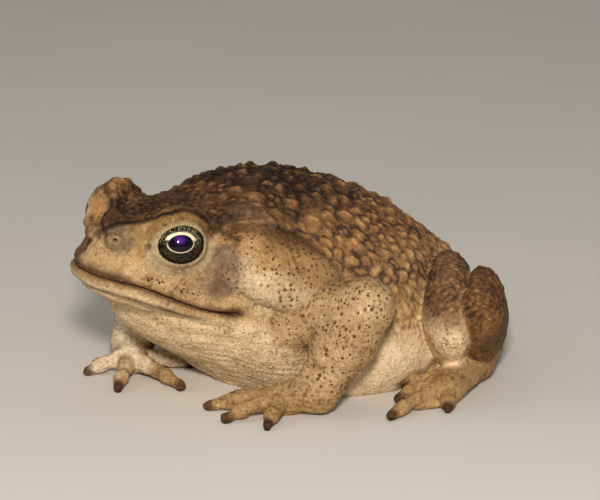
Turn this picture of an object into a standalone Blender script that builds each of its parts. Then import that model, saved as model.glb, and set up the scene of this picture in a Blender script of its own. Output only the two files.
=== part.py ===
"""A cane toad sitting on the floor, life size, as a still model.

Lengths are in millimetres until a mesh is made, which is in metres. The toad
faces -Y, its left side is at +X and the floor is at z = 0. The body is one
implicit field: rounded masses that melt into one another, negative inside.
Thin gaps part it into the head, the torso, the glands and each length of
limb, and every part then becomes a closed surface of its own.
"""

import math
from dataclasses import dataclass
from functools import lru_cache

import bmesh
import bpy
import numpy as np
from mathutils import Matrix, Vector

METRES = 0.001
LEFT, RIGHT = 1, -1

# How the head and the trunk are held: degrees, and places in millimetres
HEAD_YAW = 11.0
HEAD_PITCH = 16.0
HEAD_ROLL = 7.5
TRUNK_ROLL = 4.0
HEAD_ORIGIN = (-0.6, -26.3, 24.6)
TRUNK_ORIGIN = (0.0, 0.0, 20.0)

# Clear gaps between neighbouring parts
PART_GAP = 0.34
LIMB_GAP = 0.5
FLANGE = 0.9
FLOOR_SNAP = 0.3

# Widths over which neighbouring masses melt together
SOFT_TRUNK = 9.0
SOFT_HEAD = 5.0
SOFT_BROW = 2.5
SOFT_BRIDGE = 2.0
SOFT_RIDGE = 1.4
SOFT_LIMB = 3.0
SOFT_DIGIT = 1.2
SOFT_WART = 0.9
SOFT_GLAND = 2.0

# Masses of the trunk, in its own frame: centre and half lengths
TRUNK_MASSES = {
    "chest": ((0.0, -13.0, 5.0), (25.0, 18.0, 19.5)),
    "left breast": ((19.0, -11.0, -3.0), (12.0, 12.0, 11.0)),
    "right breast": ((-19.0, -11.0, -3.0), (12.0, 12.0, 11.0)),
    "shoulders": ((0.0, -3.5, 14.2), (24.0, 22.0, 17.0)),
    "middle": ((0.0, 13.0, 1.2), (36.0, 29.0, 24.6)),
    "belly": ((0.0, 12.5, -10.5), (40.0, 34.0, 18.5)),
    "rump": ((0.0, 34.0, -4.0), (27.0, 21.0, 14.5)),
    "vent": ((0.0, 49.0, -9.0), (12.0, 9.0, 8.0)),
}

# Masses of the head, in its own frame: jaw hinge at the origin, mouth line at z = 0
HEAD_MASSES = {
    "braincase": ((0.0, -2.0, 7.4), (21.0, 18.0, 12.2)),
    "crown": ((0.0, -12.0, 8.4), (16.5, 14.5, 11.0)),
    "snout": ((0.0, -20.6, 4.8), (10.6, 10.0, 7.8)),
    "mandible": ((0.0, -9.0, -1.0), (18.5, 20.5, 4.8)),
    "throat": ((0.0, 2.0, -6.0), (18.0, 17.0, 9.0)),
}
BRIDGE = ((0.0, -22.5, 9.6), (5.6, 7.2, 4.6))
NECK = 4.0

# Eyes and brows of the left side, in the head's frame
EYE_RADIUS = 6.3
EYE_CENTRE = (11.9, -16.9, 12.9)
EYE_GAZE = (0.844, -0.51, 0.164)
EYE_OPENING = (5.75, 4.5)
LID_THICKNESS = 1.0
LID_WIDTH = 1.7
EYE_RINGS, EYE_SEGMENTS = 10, 18
BROW_CENTRE = (11.1, -16.9, 13.9)
BROW_HALF = (5.6, 7.7, 8.0)

# Ridge from the tip of the snout over the eye to the gland, in the head's frame
CREST = ((0.0, -29.2, 12.2), (1.6, -28.5, 13.2), (3.4, -26.5, 14.0), (4.8, -24.0, 14.9),
         (6.8, -22.0, 16.6), (9.2, -20.9, 19.0), (11.6, -18.8, 20.7), (12.9, -13.8, 20.8),
         (15.1, -8.4, 18.4), (18.6, -5.6, 16.2))
CREST_RADII = (0.9, 1.0, 1.0, 1.0, 1.0, 1.1, 1.2, 1.2, 1.1, 1.0)

# Ridge round the front of the left gland, in the head's frame, and the step to the right one's mirror place
SHOULDER_RIDGE = ((15.3, -5.4, 19.4), (11.8, -1.2, 22.2), (13.6, 1.5, 23.2), (18.0, 1.7, 23.6),
                  (22.5, 2.0, 22.8))
SHOULDER_RIDGE_RADII = (1.2, 1.6, 1.8, 1.6, 1.2)
RIGHT_RIDGE_STEP = (0.2, 1.0, -2.2)

# Mouth line, lips, nostrils and eardrums, in the head's frame
MOUTH_CURVE = (20.8, 35.8, 15.6, 1.25)
MOUTH_LENGTH = 30.0
MOUTH_REACH = (-1.1, 0.0)
LIP_GROOVE = 0.4
LIP_DEPTH = 1.3
LIP_SWELL = 0.7
LIP_HEIGHT = 2.2
LIP_SPREAD = 1.8
LOWER_LIP = 0.6
LIP_FADE = 6.0
NOSTRIL = (3.8, -29.0, 9.7)
NOSTRIL_OUT = (7.4, -32.6, 11.4)
NOSTRIL_SWELL = (2.4, 2.4, 2.2)
NOSTRIL_RADIUS = 0.9
EAR_CENTRE = (19.3, -6.8, 7.9)
EAR_HALF = (3.0, 4.4, 6.2)
EAR_RIM = (2.2, 5.4, 7.2)

# Parotoid glands: the right one lies lower, as the head leans to the left
GLAND_CENTRES = {LEFT: (25.9, -15.0, 32.8), RIGHT: (-25.7, -14.0, 31.4)}
GLAND_ALONG = (0.54, 0.75, -0.39)
GLAND_OUTWARD = (0.8, -0.25, 0.55)
GLAND_HALF = (6.0, 16.5, 9.6)

# Joints of both arms: the right one is held closer in
ARMS = {
    LEFT: {"shoulder": (22.0, -13.0, 18.0), "elbow": (45.5, -3.5, 26.3), "wrist": (40.0, -13.5, 6.0),
           "palm": (34.5, -19.5, 3.4),
           "tips": ((20.0, -24.0, 1.15), (22.5, -33.0, 1.15), (33.0, -35.0, 1.15), (43.0, -30.0, 1.15))},
    RIGHT: {"shoulder": (-22.0, -15.0, 20.0), "elbow": (-41.0, -8.0, 25.0), "wrist": (-21.0, -27.0, 5.5),
            "palm": (-14.0, -32.0, 3.4),
            "tips": ((-9.0, -18.0, 1.15), (6.0, -30.0, 1.15), (-2.0, -43.0, 1.15), (-18.0, -42.0, 1.15))},
}
SHOULDER_RADIUS, ELBOW_RADIUS = 8.0, 6.4
FOREARM_RADII = (6.4, 7.0, 5.4)
FOREARM_BELLY = 0.4
PALM_RADII = (4.7, 3.7)
FINGER_SHARES = (0.0, 0.36, 0.52, 0.72, 1.0)
FINGER_RADII = (3.2, 2.0, 1.7, 1.8, 1.3)
FINGER_ARCH = 0.8

# Joints of the left hind leg; the right one mirrors it
LEG = {"hip": (16.0, 43.0, 15.0), "knee": (47.0, 21.5, 18.0), "outer_knee": (50.0, 26.0, 20.0),
       "heel": (20.5, 53.0, 7.0), "tarsus": (39.0, 33.5, 5.4), "web": (50.0, 17.5, 3.0),
       "tips": ((35.5, 22.0, 1.15), (38.5, 14.0, 1.15), (44.0, 7.5, 1.15), (54.0, -2.0, 1.15),
                (57.0, 12.5, 1.15))}
THIGH_HALF = (7.4, 25.0, 13.8)
THIGH_OUTWARD = (0.57, 0.82, 0.0)
THIGH_RADII = (7.6, 6.0)
SHANK_HALF = (6.5, 21.0, 12.8)
SHANK_OUTWARD = (0.7, 0.7, 0.0)
SHANK_RADII = (6.6, 4.4)
CALF_SHARE = 0.42
FOOT_RADII = (5.0, 5.4, 4.0)
TOE_ROOTS = (0.3, 0.45, 0.62, 0.78, 0.9)
TOE_SHARES = (0.0, 0.35, 0.6, 0.8, 1.0)
TOE_RADII = (2.7, 1.9, 1.65, 1.75, 1.3)
WEB_SHARES = np.linspace(0.1, 0.62, 7)
WEB_RADIUS = 0.75
WEB_HEIGHT = 1.4

# Groups of warts: ends of the axis they are thrown from, arc in degrees, radii, spacing, tries, seed
BODY_WARTS = {
    "large": ((0, -22, 22), (0, 52, 14), (-62, 62), (2.0, 3.1), 1.12, 900, 3),
    "left flank": ((0, -4, 18), (0, 50, 14), (-105, -62), (1.5, 2.1), 1.25, 400, 4),
    "right flank": ((0, -4, 18), (0, 50, 14), (62, 105), (1.5, 2.1), 1.25, 400, 5),
    "brows": ((0, -44, 30), (0, -26, 30), (-60, 60), (1.0, 1.5), 1.3, 200, 6),
    "rump": ((0, 38, -8), (0, 40, 30), (-60, 60), (1.5, 2.3), 1.2, 300, 9),
}
THIGH_WARTS = {LEFT: ((-70, 100), (1.2, 1.9), 1.35, 160, 7), RIGHT: ((-100, 70), (1.2, 1.9), 1.35, 160, 7)}
SHANK_WARTS = {LEFT: ((-110, 60), (1.3, 2.1), 1.25, 200, 8), RIGHT: ((-60, 110), (1.3, 2.1), 1.25, 200, 8)}
WART_RISE = 0.5
WART_ROOT = 0.1
GROUP_SPACING = 1.1
RAY_START = 60.0
RAY_MOVES = 60
RAY_CARE = 0.8
RAY_LIMITS = (-4.0, 8.0)
NUDGE = 0.2
ON_SKIN = 0.1

# Samples: step of the block of each part and its triangles
GRAIN = {
    "head": (0.7, 2500), "lower_jaw": (0.8, 700), "torso": (0.9, 5200), "parotoid": (0.9, 360),
    "tympanum": (0.6, 120), "upper_arm": (0.9, 380), "forearm": (0.8, 400), "hand": (0.6, 800),
    "thigh": (0.8, 600), "shank": (0.8, 650), "foot": (0.6, 950),
}
ROOM = {"parotoid": 20, "tympanum": 9, "upper_arm": 13, "forearm": 10, "hand": 6, "thigh": 18,
        "shank": 17, "foot": 7}
HEAD_BLOCK = ((-30, -66, 12), (32, -12, 56))
JAW_BLOCK = ((-30, -66, 0), (32, -8, 45))
TORSO_BLOCK = ((-48, -40, -2), (48, 66, 58))
SHARP_ANGLE = 50.0

# Colours
HEAD_TAN = (0.40, 0.25, 0.12)
THROAT_CREAM = (0.53, 0.36, 0.19)
BACK_BROWN = (0.16, 0.08, 0.03)
GLAND_TAN = (0.36, 0.20, 0.08)
EAR_GREY = (0.26, 0.18, 0.12)
ARM_TAN = (0.55, 0.38, 0.20)
LEG_TAN = (0.42, 0.25, 0.11)
FOOT_TAN = (0.42, 0.27, 0.12)
EYE_DARK = (0.02, 0.015, 0.01)


def turn_matrix(yaw, pitch, roll):
    """Return the turn of a body that faces -Y, from angles in degrees."""
    turn = (Matrix.Rotation(math.radians(yaw), 3, "Z")
            @ Matrix.Rotation(math.radians(-pitch), 3, "X")
            @ Matrix.Rotation(math.radians(roll), 3, "Y"))
    return np.array(turn)


@dataclass
class Frame:
    """A place and a turn that a group of masses is measured in."""

    origin: tuple
    turn: np.ndarray

    def point(self, local):
        """Return the world place of a local point."""
        return np.array(self.origin) + self.turn @ np.array(local, dtype=float)

    def coordinates(self, space):
        """Return the local coordinates of every sample."""
        deltas = (space.x - self.origin[0], space.y - self.origin[1], space.z - self.origin[2])
        return [sum(deltas[j] * self.turn[j, i] for j in range(3)) for i in range(3)]


HEAD = Frame(HEAD_ORIGIN, turn_matrix(HEAD_YAW, HEAD_PITCH, HEAD_ROLL))
TRUNK = Frame(TRUNK_ORIGIN, turn_matrix(0.0, 0.0, TRUNK_ROLL))
WORLD = Frame((0.0, 0.0, 0.0), np.eye(3))


class Spots:
    """Sample points given one by one."""

    def __init__(self, points):
        self.x, self.y, self.z = points.T


class Block:
    """A regular block of sample points."""

    def __init__(self, low, high, step):
        self.low = (np.floor(np.array(low) / step) - 2.5) * step
        self.step = step
        self.shape = tuple(int(n) for n in np.ceil((np.array(high) - self.low) / step) + 3)
        lines = [self.low[i] + step * np.arange(self.shape[i]) for i in range(3)]
        self.x = lines[0][:, None, None]
        self.y = lines[1][None, :, None]
        self.z = lines[2][None, None, :]

    def window(self, centre, reach):
        """Return the slices and the samples that lie within reach of a point, or None."""
        first = np.floor((np.array(centre) - reach - self.low) / self.step).astype(int)
        last = np.ceil((np.array(centre) + reach - self.low) / self.step).astype(int) + 1
        first, last = np.maximum(first, 0), np.minimum(last, self.shape)
        if np.any(first >= last):
            return None
        cut = tuple(slice(a, b) for a, b in zip(first, last))
        part = object.__new__(Block)
        part.low, part.step = self.low + first * self.step, self.step
        part.shape = tuple(last - first)
        part.x, part.y, part.z = self.x[cut[0]], self.y[:, cut[1]], self.z[:, :, cut[2]]
        return cut, part


def egg(space, frame, centre, half, turn=None):
    """Distance to an ellipsoid given in a frame by its centre and half lengths."""
    axes = frame.turn if turn is None else frame.turn @ turn
    place = frame.point(centre)
    deltas = (space.x - place[0], space.y - place[1], space.z - place[2])
    near = far = 0.0
    for i in range(3):
        along = sum(deltas[j] * axes[j, i] for j in range(3))
        near = near + (along / half[i]) ** 2
        far = far + (along / half[i] ** 2) ** 2
    near = np.sqrt(near)
    return near * (near - 1.0) / np.sqrt(far + 1e-9)


def rod(space, frame, start, end, start_radius, end_radius):
    """Distance to a straight rod with round ends whose radius changes evenly."""
    a, b = frame.point(start), frame.point(end)
    reach = b - a
    deltas = (space.x - a[0], space.y - a[1], space.z - a[2])
    share = np.clip(sum(deltas[i] * reach[i] for i in range(3)) / float(reach @ reach), 0.0, 1.0)
    away = np.sqrt(sum((deltas[i] - share * reach[i]) ** 2 for i in range(3)))
    return away - (start_radius + share * (end_radius - start_radius))


def melt(first, second, width):
    """Join two fields with a soft fillet of the given width."""
    if first is None:
        return second
    mix = np.clip(0.5 + 0.5 * (second - first) / width, 0.0, 1.0)
    return second + (first - second) * mix - width * mix * (1.0 - mix)


def chain(space, frame, joints, radii, width):
    """Join rods along a row of joints."""
    field = None
    for i in range(len(joints) - 1):
        field = melt(field, rod(space, frame, joints[i], joints[i + 1], radii[i], radii[i + 1]), width)
    return field


def mirrored(point, side):
    """Return a left-hand point for the side asked for."""
    return (point[0] * side, point[1], point[2])


def axes_along(along, outward):
    """Return a turn whose second axis runs along and whose first looks outward."""
    along = np.array(along, dtype=float) / np.linalg.norm(along)
    outward = np.array(outward, dtype=float) - along * (np.array(outward) @ along)
    outward /= np.linalg.norm(outward)
    return np.stack([outward, along, np.cross(outward, along)], axis=1)


def body_field(space):
    """Field of the trunk and the head as one smooth body."""
    trunk = head = None
    for centre, half in TRUNK_MASSES.values():
        trunk = melt(trunk, egg(space, TRUNK, centre, half), SOFT_TRUNK)
    for centre, half in HEAD_MASSES.values():
        head = melt(head, egg(space, HEAD, centre, half), SOFT_HEAD)
    head = melt(head, egg(space, HEAD, *BRIDGE), SOFT_BRIDGE)
    for side in (LEFT, RIGHT):
        head = melt(head, egg(space, HEAD, mirrored(BROW_CENTRE, side), BROW_HALF), SOFT_BROW)
    field = melt(trunk, head, SOFT_TRUNK)
    for side in (LEFT, RIGHT):
        field = melt(field, gland_region(space, side), SOFT_GLAND)
    return field


def gland_region(space, side):
    """Region of one parotoid gland."""
    turn = axes_along(mirrored(GLAND_ALONG, side), mirrored(GLAND_OUTWARD, side))
    return egg(space, WORLD, GLAND_CENTRES[side], GLAND_HALF, turn)


def ear_region(space, side, half=EAR_HALF):
    """Region of one eardrum."""
    return egg(space, HEAD, mirrored(EAR_CENTRE, side), half)


def eye_axes(side):
    """Return the gaze of one eye, the level direction across it and the upright one."""
    gaze = HEAD.turn @ np.array(mirrored(EYE_GAZE, side)) / np.linalg.norm(EYE_GAZE)
    along = np.cross((0.0, 0.0, 1.0), gaze)
    along /= np.linalg.norm(along)
    return [gaze, along, np.cross(gaze, along)]


def eye_measures(space, side):
    """Return the distance to one eye's centre, outside its opening, and along its gaze."""
    centre = HEAD.point(mirrored(EYE_CENTRE, side))
    deltas = (space.x - centre[0], space.y - centre[1], space.z - centre[2])
    depth, wide, tall = (sum(deltas[i] * axis[i] for i in range(3)) for axis in eye_axes(side))
    outside = (np.sqrt((wide / EYE_OPENING[0]) ** 2 + (tall / EYE_OPENING[1]) ** 2) - 1.0) * EYE_OPENING[1]
    return np.sqrt(sum(delta ** 2 for delta in deltas)), outside, depth


def eye_hollow(space, side):
    """Field of the socket round one eye and of the opening between its lids."""
    away, outside, depth = eye_measures(space, side)
    return np.minimum(away - EYE_RADIUS - PART_GAP, np.maximum(outside, -depth))


def lid_region(space, side):
    """Region of the ring of skin round the opening of one eye."""
    away, outside, depth = eye_measures(space, side)
    shell = away - EYE_RADIUS - PART_GAP - LID_THICKNESS
    return np.maximum(np.maximum(shell, outside - LID_WIDTH), -depth)


def over_mouth(space):
    """Height of every sample over the curved sheet between the lips."""
    back, up = HEAD.coordinates(space)[1:]
    return up - np.polyval(MOUTH_CURVE, np.clip(back / MOUTH_LENGTH, *MOUTH_REACH))


def shoulder_ridge(side):
    """Return the world places of the ridge round the front of one gland."""
    places = [HEAD.point(point) for point in SHOULDER_RIDGE]
    if side == RIGHT:
        places = [np.array(mirrored(place, side)) + RIGHT_RIDGE_STEP for place in places]
    return places


def add_face(space, field):
    """Add lips, crests, nostrils, ear rims and lids, and let the eyes in."""
    back = HEAD.coordinates(space)[1]
    over = over_mouth(space)
    front = np.clip(-back / LIP_FADE, 0.0, 1.0)
    lips = (np.exp(-((over - LIP_HEIGHT) / LIP_SPREAD) ** 2)
            + LOWER_LIP * np.exp(-((over + LIP_HEIGHT) / LIP_SPREAD) ** 2))
    field = field - LIP_SWELL * lips * front
    for side in (LEFT, RIGHT):
        ridge = [mirrored(point, side) for point in CREST]
        field = melt(field, chain(space, HEAD, ridge, CREST_RADII, SOFT_DIGIT), SOFT_DIGIT)
        shoulder = chain(space, WORLD, shoulder_ridge(side), SHOULDER_RIDGE_RADII, SOFT_RIDGE)
        field = melt(field, shoulder, SOFT_RIDGE)
        field = melt(field, egg(space, HEAD, mirrored(NOSTRIL, side), NOSTRIL_SWELL), SOFT_DIGIT)
        field = melt(field, ear_region(space, side, EAR_RIM), SOFT_DIGIT)
        field = melt(field, lid_region(space, side), SOFT_DIGIT)
        bore = rod(space, HEAD, mirrored(NOSTRIL, side), mirrored(NOSTRIL_OUT, side),
                   NOSTRIL_RADIUS, NOSTRIL_RADIUS)
        field = np.maximum(field, -np.minimum(bore, eye_hollow(space, side)))
    groove = np.maximum(np.maximum(np.abs(over) - LIP_GROOVE, back), -(field + LIP_DEPTH))
    return np.maximum(field, -groove)


def scatter(field_at, start, end, arc, sizes, spacing, tries, seed):
    """Spread warts over a surface that is seen from an axis.

    Rays fall towards the axis from start to end, within the arc in degrees on
    both sides of the upward direction. Each wart is a point on the surface, its
    outward direction and a radius, and keeps its distance from all others.
    """
    draw = np.random.default_rng(seed)
    start, end = np.array(start, dtype=float), np.array(end, dtype=float)
    axis = end - start
    across = np.cross(axis, (0.0, 0.0, 1.0))
    across /= np.linalg.norm(across)
    upward = np.cross(across, axis / np.linalg.norm(axis))
    angle = np.radians(draw.uniform(arc[0], arc[1], tries))[:, None]
    outward = np.cos(angle) * upward + np.sin(angle) * across
    radius = draw.uniform(sizes[0], sizes[1], tries)
    foot = start + draw.random((tries, 1)) * axis
    points = foot + RAY_START * outward
    for _ in range(RAY_MOVES):
        points = points - outward * np.clip(field_at(Spots(points)), *RAY_LIMITS)[:, None] * RAY_CARE
    slope = np.stack([field_at(Spots(points + NUDGE * unit)) - field_at(Spots(points - NUDGE * unit))
                      for unit in np.eye(3)], axis=1)
    slope /= np.linalg.norm(slope, axis=1)[:, None]
    kept = []
    for i in range(tries):
        clear = all(np.linalg.norm(points[i] - points[j]) > spacing * (radius[i] + radius[j]) for j in kept)
        if clear and abs(field_at(Spots(points[i:i + 1]))[0]) < ON_SKIN:
            kept.append(i)
    return [(points[i], slope[i], radius[i]) for i in kept]


def clear_of_face(wart):
    """Say whether a wart lies off the glands, eyes, ears and mouth."""
    spot = Spots(wart[0][None, :])
    regions = [gland_region(spot, side)[0] for side in (LEFT, RIGHT)]
    regions += [ear_region(spot, side)[0] for side in (LEFT, RIGHT)]
    regions += [eye_hollow(spot, side)[0] for side in (LEFT, RIGHT)]
    across, back, up = (value[0] for value in HEAD.coordinates(spot))
    on_snout = back < -3.0 and (up < 13.0 or abs(across) < 8.0 or back < -20.0)
    return min(regions) > wart[2] and not on_snout


@lru_cache
def body_warts():
    """Return the warts of the back, the flanks and the brows."""
    groups = {name: scatter(body_field, *group) for name, group in BODY_WARTS.items()}
    rump = groups.pop("rump")
    others = sum(groups.values(), [])

    def crowded(wart):
        return any(np.linalg.norm(wart[0] - other[0]) < GROUP_SPACING * (wart[2] + other[2])
                   for other in others)

    free = [wart for wart in rump if not crowded(wart)]
    return [wart for wart in others + free if clear_of_face(wart)]


@lru_cache
def leg_warts(side):
    """Return the warts of one thigh and shank."""
    hip, knee, heel = (mirrored(LEG[name], side) for name in ("hip", "knee", "heel"))
    outer = mirrored(LEG["outer_knee"], side)

    def whole(space):
        return np.minimum(thigh_field(space, side), shank_field(space, side))

    return (scatter(whole, hip, knee, *THIGH_WARTS[side])
            + scatter(whole, outer, heel, *SHANK_WARTS[side]))


def add_warts(space, field, warts):
    """Raise a flat dome at each wart, its root sunk in the skin."""
    field = field.copy()
    for point, outward, radius in warts:
        found = space.window(point, radius * 1.5 + 1.0)
        if found is None:
            continue
        cut, near = found
        helper = (1.0, 0.0, 0.0) if abs(outward[0]) < 0.7 else (0.0, 1.0, 0.0)
        dome = egg(near, WORLD, point - WART_ROOT * radius * outward,
                   (WART_RISE * radius, radius, radius), axes_along(np.cross(outward, helper), outward))
        field[cut] = melt(field[cut], dome, SOFT_WART)
    return field


def floor_cut(space, field):
    """Cut a field off level with the floor."""
    return np.maximum(field, -space.z)


def full_body(space):
    """Field of the trunk and head with every form worked into it."""
    field = add_warts(space, body_field(space), body_warts())
    return floor_cut(space, add_face(space, field))


def upper_arm_field(space, side):
    """Field of one upper arm."""
    return rod(space, WORLD, ARMS[side]["shoulder"], ARMS[side]["elbow"], SHOULDER_RADIUS, ELBOW_RADIUS)


def forearm_field(space, side):
    """Field of one forearm, thick below the elbow."""
    elbow, wrist = np.array(ARMS[side]["elbow"]), np.array(ARMS[side]["wrist"])
    joints = (elbow, elbow + FOREARM_BELLY * (wrist - elbow), wrist)
    return chain(space, WORLD, joints, FOREARM_RADII, SOFT_LIMB)


def digit_field(space, root, tip, shares, radii):
    """Field of one finger or toe, low arched, with a knob at its last joint."""
    root, tip = np.array(root), np.array(tip)
    joints = [root + share * (tip - root) + (0.0, 0.0, FINGER_ARCH * math.sin(math.pi * share))
              for share in shares]
    return chain(space, WORLD, joints, radii, SOFT_DIGIT)


def hand_field(space, side):
    """Field of one hand with its four fingers."""
    field = rod(space, WORLD, ARMS[side]["wrist"], ARMS[side]["palm"], *PALM_RADII)
    for tip in ARMS[side]["tips"]:
        finger = digit_field(space, ARMS[side]["palm"], tip, FINGER_SHARES, FINGER_RADII)
        field = melt(field, finger, SOFT_DIGIT)
    return field


def thigh_field(space, side):
    """Field of one thigh, taller than it is wide."""
    hip, knee = (np.array(mirrored(LEG[name], side)) for name in ("hip", "knee"))
    turn = axes_along(knee - hip, mirrored(THIGH_OUTWARD, side))
    middle = (hip + knee) / 2
    return melt(egg(space, WORLD, middle, THIGH_HALF, turn),
                rod(space, WORLD, middle, knee, *THIGH_RADII), SOFT_LIMB)


def shank_field(space, side):
    """Field of one shank, with a deep calf."""
    knee, heel = (np.array(mirrored(LEG[name], side)) for name in ("outer_knee", "heel"))
    turn = axes_along(heel - knee, mirrored(SHANK_OUTWARD, side))
    return melt(egg(space, WORLD, knee + CALF_SHARE * (heel - knee), SHANK_HALF, turn),
                rod(space, WORLD, knee, heel, *SHANK_RADII), SOFT_LIMB)


def foot_field(space, side):
    """Field of one foot with five toes and the web between them."""
    joints = [np.array(mirrored(LEG[name], side)) for name in ("heel", "tarsus", "web")]
    field = chain(space, WORLD, joints, FOOT_RADII, SOFT_LIMB)
    toes = []
    for share, tip in zip(TOE_ROOTS, LEG["tips"]):
        root = joints[1] + share * (joints[2] - joints[1])
        toes.append((root, np.array(mirrored(tip, side))))
        field = melt(field, digit_field(space, root, toes[-1][1], TOE_SHARES, TOE_RADII), SOFT_DIGIT)
    for (root, tip), (next_root, next_tip) in zip(toes[:-1], toes[1:]):
        for share in WEB_SHARES:
            ends = [a + share * (b - a) for a, b in ((root, tip), (next_root, next_tip))]
            ends = [(end[0], end[1], WEB_HEIGHT) for end in ends]
            field = melt(field, rod(space, WORLD, *ends, WEB_RADIUS, WEB_RADIUS), SOFT_DIGIT)
    return field


def beyond(field, gap=PART_GAP):
    """Return what lies outside a region, half a gap clear of it."""
    return gap / 2 - field


def within(field, gap=PART_GAP):
    """Return what lies inside a region, half a gap clear of its edge."""
    return field + gap / 2


def behind_neck(space):
    """Distance behind the plane that parts the head from the torso."""
    return HEAD.coordinates(space)[1] - NECK


def without_patches(space):
    """Field of the whole body less the glands and the eardrums."""
    field = full_body(space)
    for side in (LEFT, RIGHT):
        field = np.maximum(field, beyond(gland_region(space, side)))
        field = np.maximum(field, beyond(ear_region(space, side)))
    return field


def head_node(space):
    """Field of the upper head."""
    field = np.maximum(without_patches(space), within(behind_neck(space)))
    return np.maximum(field, beyond(over_mouth(space)))


def jaw_node(space):
    """Field of the lower jaw and throat."""
    field = np.maximum(without_patches(space), within(behind_neck(space)))
    return np.maximum(field, within(over_mouth(space)))


def torso_node(space):
    """Field of the torso."""
    return np.maximum(without_patches(space), beyond(behind_neck(space)))


def gland_node(space, side):
    """Field of one parotoid gland, which gives way to the eardrum."""
    field = np.maximum(full_body(space), within(gland_region(space, side)))
    return np.maximum(field, beyond(ear_region(space, side)))


def ear_node(space, side):
    """Field of one eardrum."""
    return np.maximum(full_body(space), within(ear_region(space, side)))


def share_out(claims, index, step):
    """Distance past the border between one length of a limb and its neighbours."""
    others = np.minimum.reduce([claim for i, claim in enumerate(claims) if i != index])
    border = claims[index] - others
    steepness = np.sqrt(sum(slope ** 2 for slope in np.gradient(border, step)))
    return border / np.maximum(steepness, 0.25)


def short_rod(space, start, end, trim=0.12):
    """Distance to the middle of a rod, so that two rods never share an end."""
    start, end = np.array(start), np.array(end)
    reach = end - start
    return rod(space, WORLD, start + trim * reach, end - trim * reach, 0.0, 0.0)


def limb_node(space, lengths, claims, index, softness):
    """Field of one length of a limb, cut clear of the body and its neighbours."""
    body = full_body(space)
    limb = None
    for field in lengths:
        limb = melt(limb, field, softness)
    field = np.maximum(melt(body, limb, softness), limb - FLANGE)
    field = np.maximum(field, LIMB_GAP - body)
    field = np.maximum(field, within(share_out(claims, index, space.step), LIMB_GAP))
    return floor_cut(space, field)


def arm_node(space, side, index):
    """Field of one length of an arm: 0 upper arm, 1 forearm, 2 hand."""
    joints = ARMS[side]
    lengths = [upper_arm_field(space, side), forearm_field(space, side), hand_field(space, side)]
    hand = np.minimum.reduce([rod(space, WORLD, joints["palm"], tip, 0.0, 0.0) for tip in joints["tips"]])
    hand = np.minimum(hand, rod(space, WORLD, joints["wrist"], joints["palm"], 0.0, 0.0))
    claims = [short_rod(space, joints["shoulder"], joints["elbow"]) - ELBOW_RADIUS,
              short_rod(space, joints["elbow"], joints["wrist"]) - ELBOW_RADIUS, hand - PALM_RADII[0]]
    return limb_node(space, lengths, claims, index, SOFT_LIMB)


def leg_node(space, side, index):
    """Field of one length of a hind leg: 0 thigh, 1 shank, 2 foot."""
    lengths = [thigh_field(space, side), shank_field(space, side), foot_field(space, side)]
    warty = [add_warts(space, field, leg_warts(side)) for field in lengths[:2]] + lengths[2:]
    return limb_node(space, warty, lengths, index, SOFT_DIGIT)


# The six tetrahedra that fill a cube of samples, each as an order of the three axes
CUBE_PATHS = ((0, 1, 2), (0, 2, 1), (1, 0, 2), (1, 2, 0), (2, 0, 1), (2, 1, 0))


def crossed_tetrahedra(inside):
    """Return the sample numbers of the tetrahedra that the surface passes through."""
    nx, ny, nz = inside.shape
    strides = (ny * nz, nz, 1)
    corners = [inside[i:nx - 1 + i, j:ny - 1 + j, k:nz - 1 + k]
               for i in (0, 1) for j in (0, 1) for k in (0, 1)]
    count = np.sum(corners, axis=0)
    base = np.argwhere((count > 0) & (count < 8)) @ np.array(strides)
    blocks = []
    for path in CUBE_PATHS:
        first = base + strides[path[0]]
        second = first + strides[path[1]]
        blocks.append(np.stack([base, first, second, second + strides[path[2]]], axis=1))
    return np.concatenate(blocks)


def crossed_edges(inside):
    """Return, for each triangle of the surface, the three edges that it cuts, inner end first."""
    solid = crossed_tetrahedra(inside)
    flags = inside.ravel()[solid]
    solid = np.take_along_axis(solid, np.argsort(~flags, axis=1, kind="stable"), axis=1)
    count = flags.sum(axis=1)
    cases = ((1, ((0, 1), (0, 2), (0, 3))), (3, ((0, 3), (1, 3), (2, 3))),
             (2, ((0, 2), (0, 3), (1, 3))), (2, ((0, 2), (1, 3), (1, 2))))
    return np.concatenate([np.stack([solid[count == number][:, pair] for pair in pairs], axis=1)
                           for number, pairs in cases])


def surface(space, field):
    """Turn the zero level of a field into points and outward triangles."""
    values = field.ravel()
    edges = crossed_edges(field < 0.0)
    keys, faces = np.unique((edges.min(axis=2) * values.size + edges.max(axis=2)).ravel(),
                            return_inverse=True)
    faces = faces.reshape(-1, 3)
    low, high = keys // values.size, keys % values.size
    share = np.clip(values[low] / (values[low] - values[high]), 0.05, 0.95)[:, None]
    ny, nz = field.shape[1:]

    def place(number):
        return np.stack([number // (ny * nz), number // nz % ny, number % nz], axis=-1)

    points = (place(low) * (1.0 - share) + place(high) * share) * space.step + space.low
    outward = (place(edges[:, :, 1]) - place(edges[:, :, 0])).sum(axis=1)
    a, b, c = (points[faces[:, i]] for i in range(3))
    facing = np.einsum("ij,ij->i", np.cross(b - a, c - a), outward.astype(float))
    faces[facing < 0] = faces[facing < 0][:, ::-1]
    return points, faces


def largest_body(points, faces):
    """Keep only the largest closed surface."""
    label = np.arange(len(points))
    settled = False
    while not settled:
        before = label.copy()
        lowest = label[faces].min(axis=1)
        for i in range(3):
            np.minimum.at(label, faces[:, i], lowest)
        label = label[label]
        settled = np.array_equal(before, label)
    kinds, counts = np.unique(label[faces[:, 0]], return_counts=True)
    faces = faces[label[faces[:, 0]] == kinds[counts.argmax()]]
    used, faces = np.unique(faces.ravel(), return_inverse=True)
    return points[used], faces.reshape(-1, 3)


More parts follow.
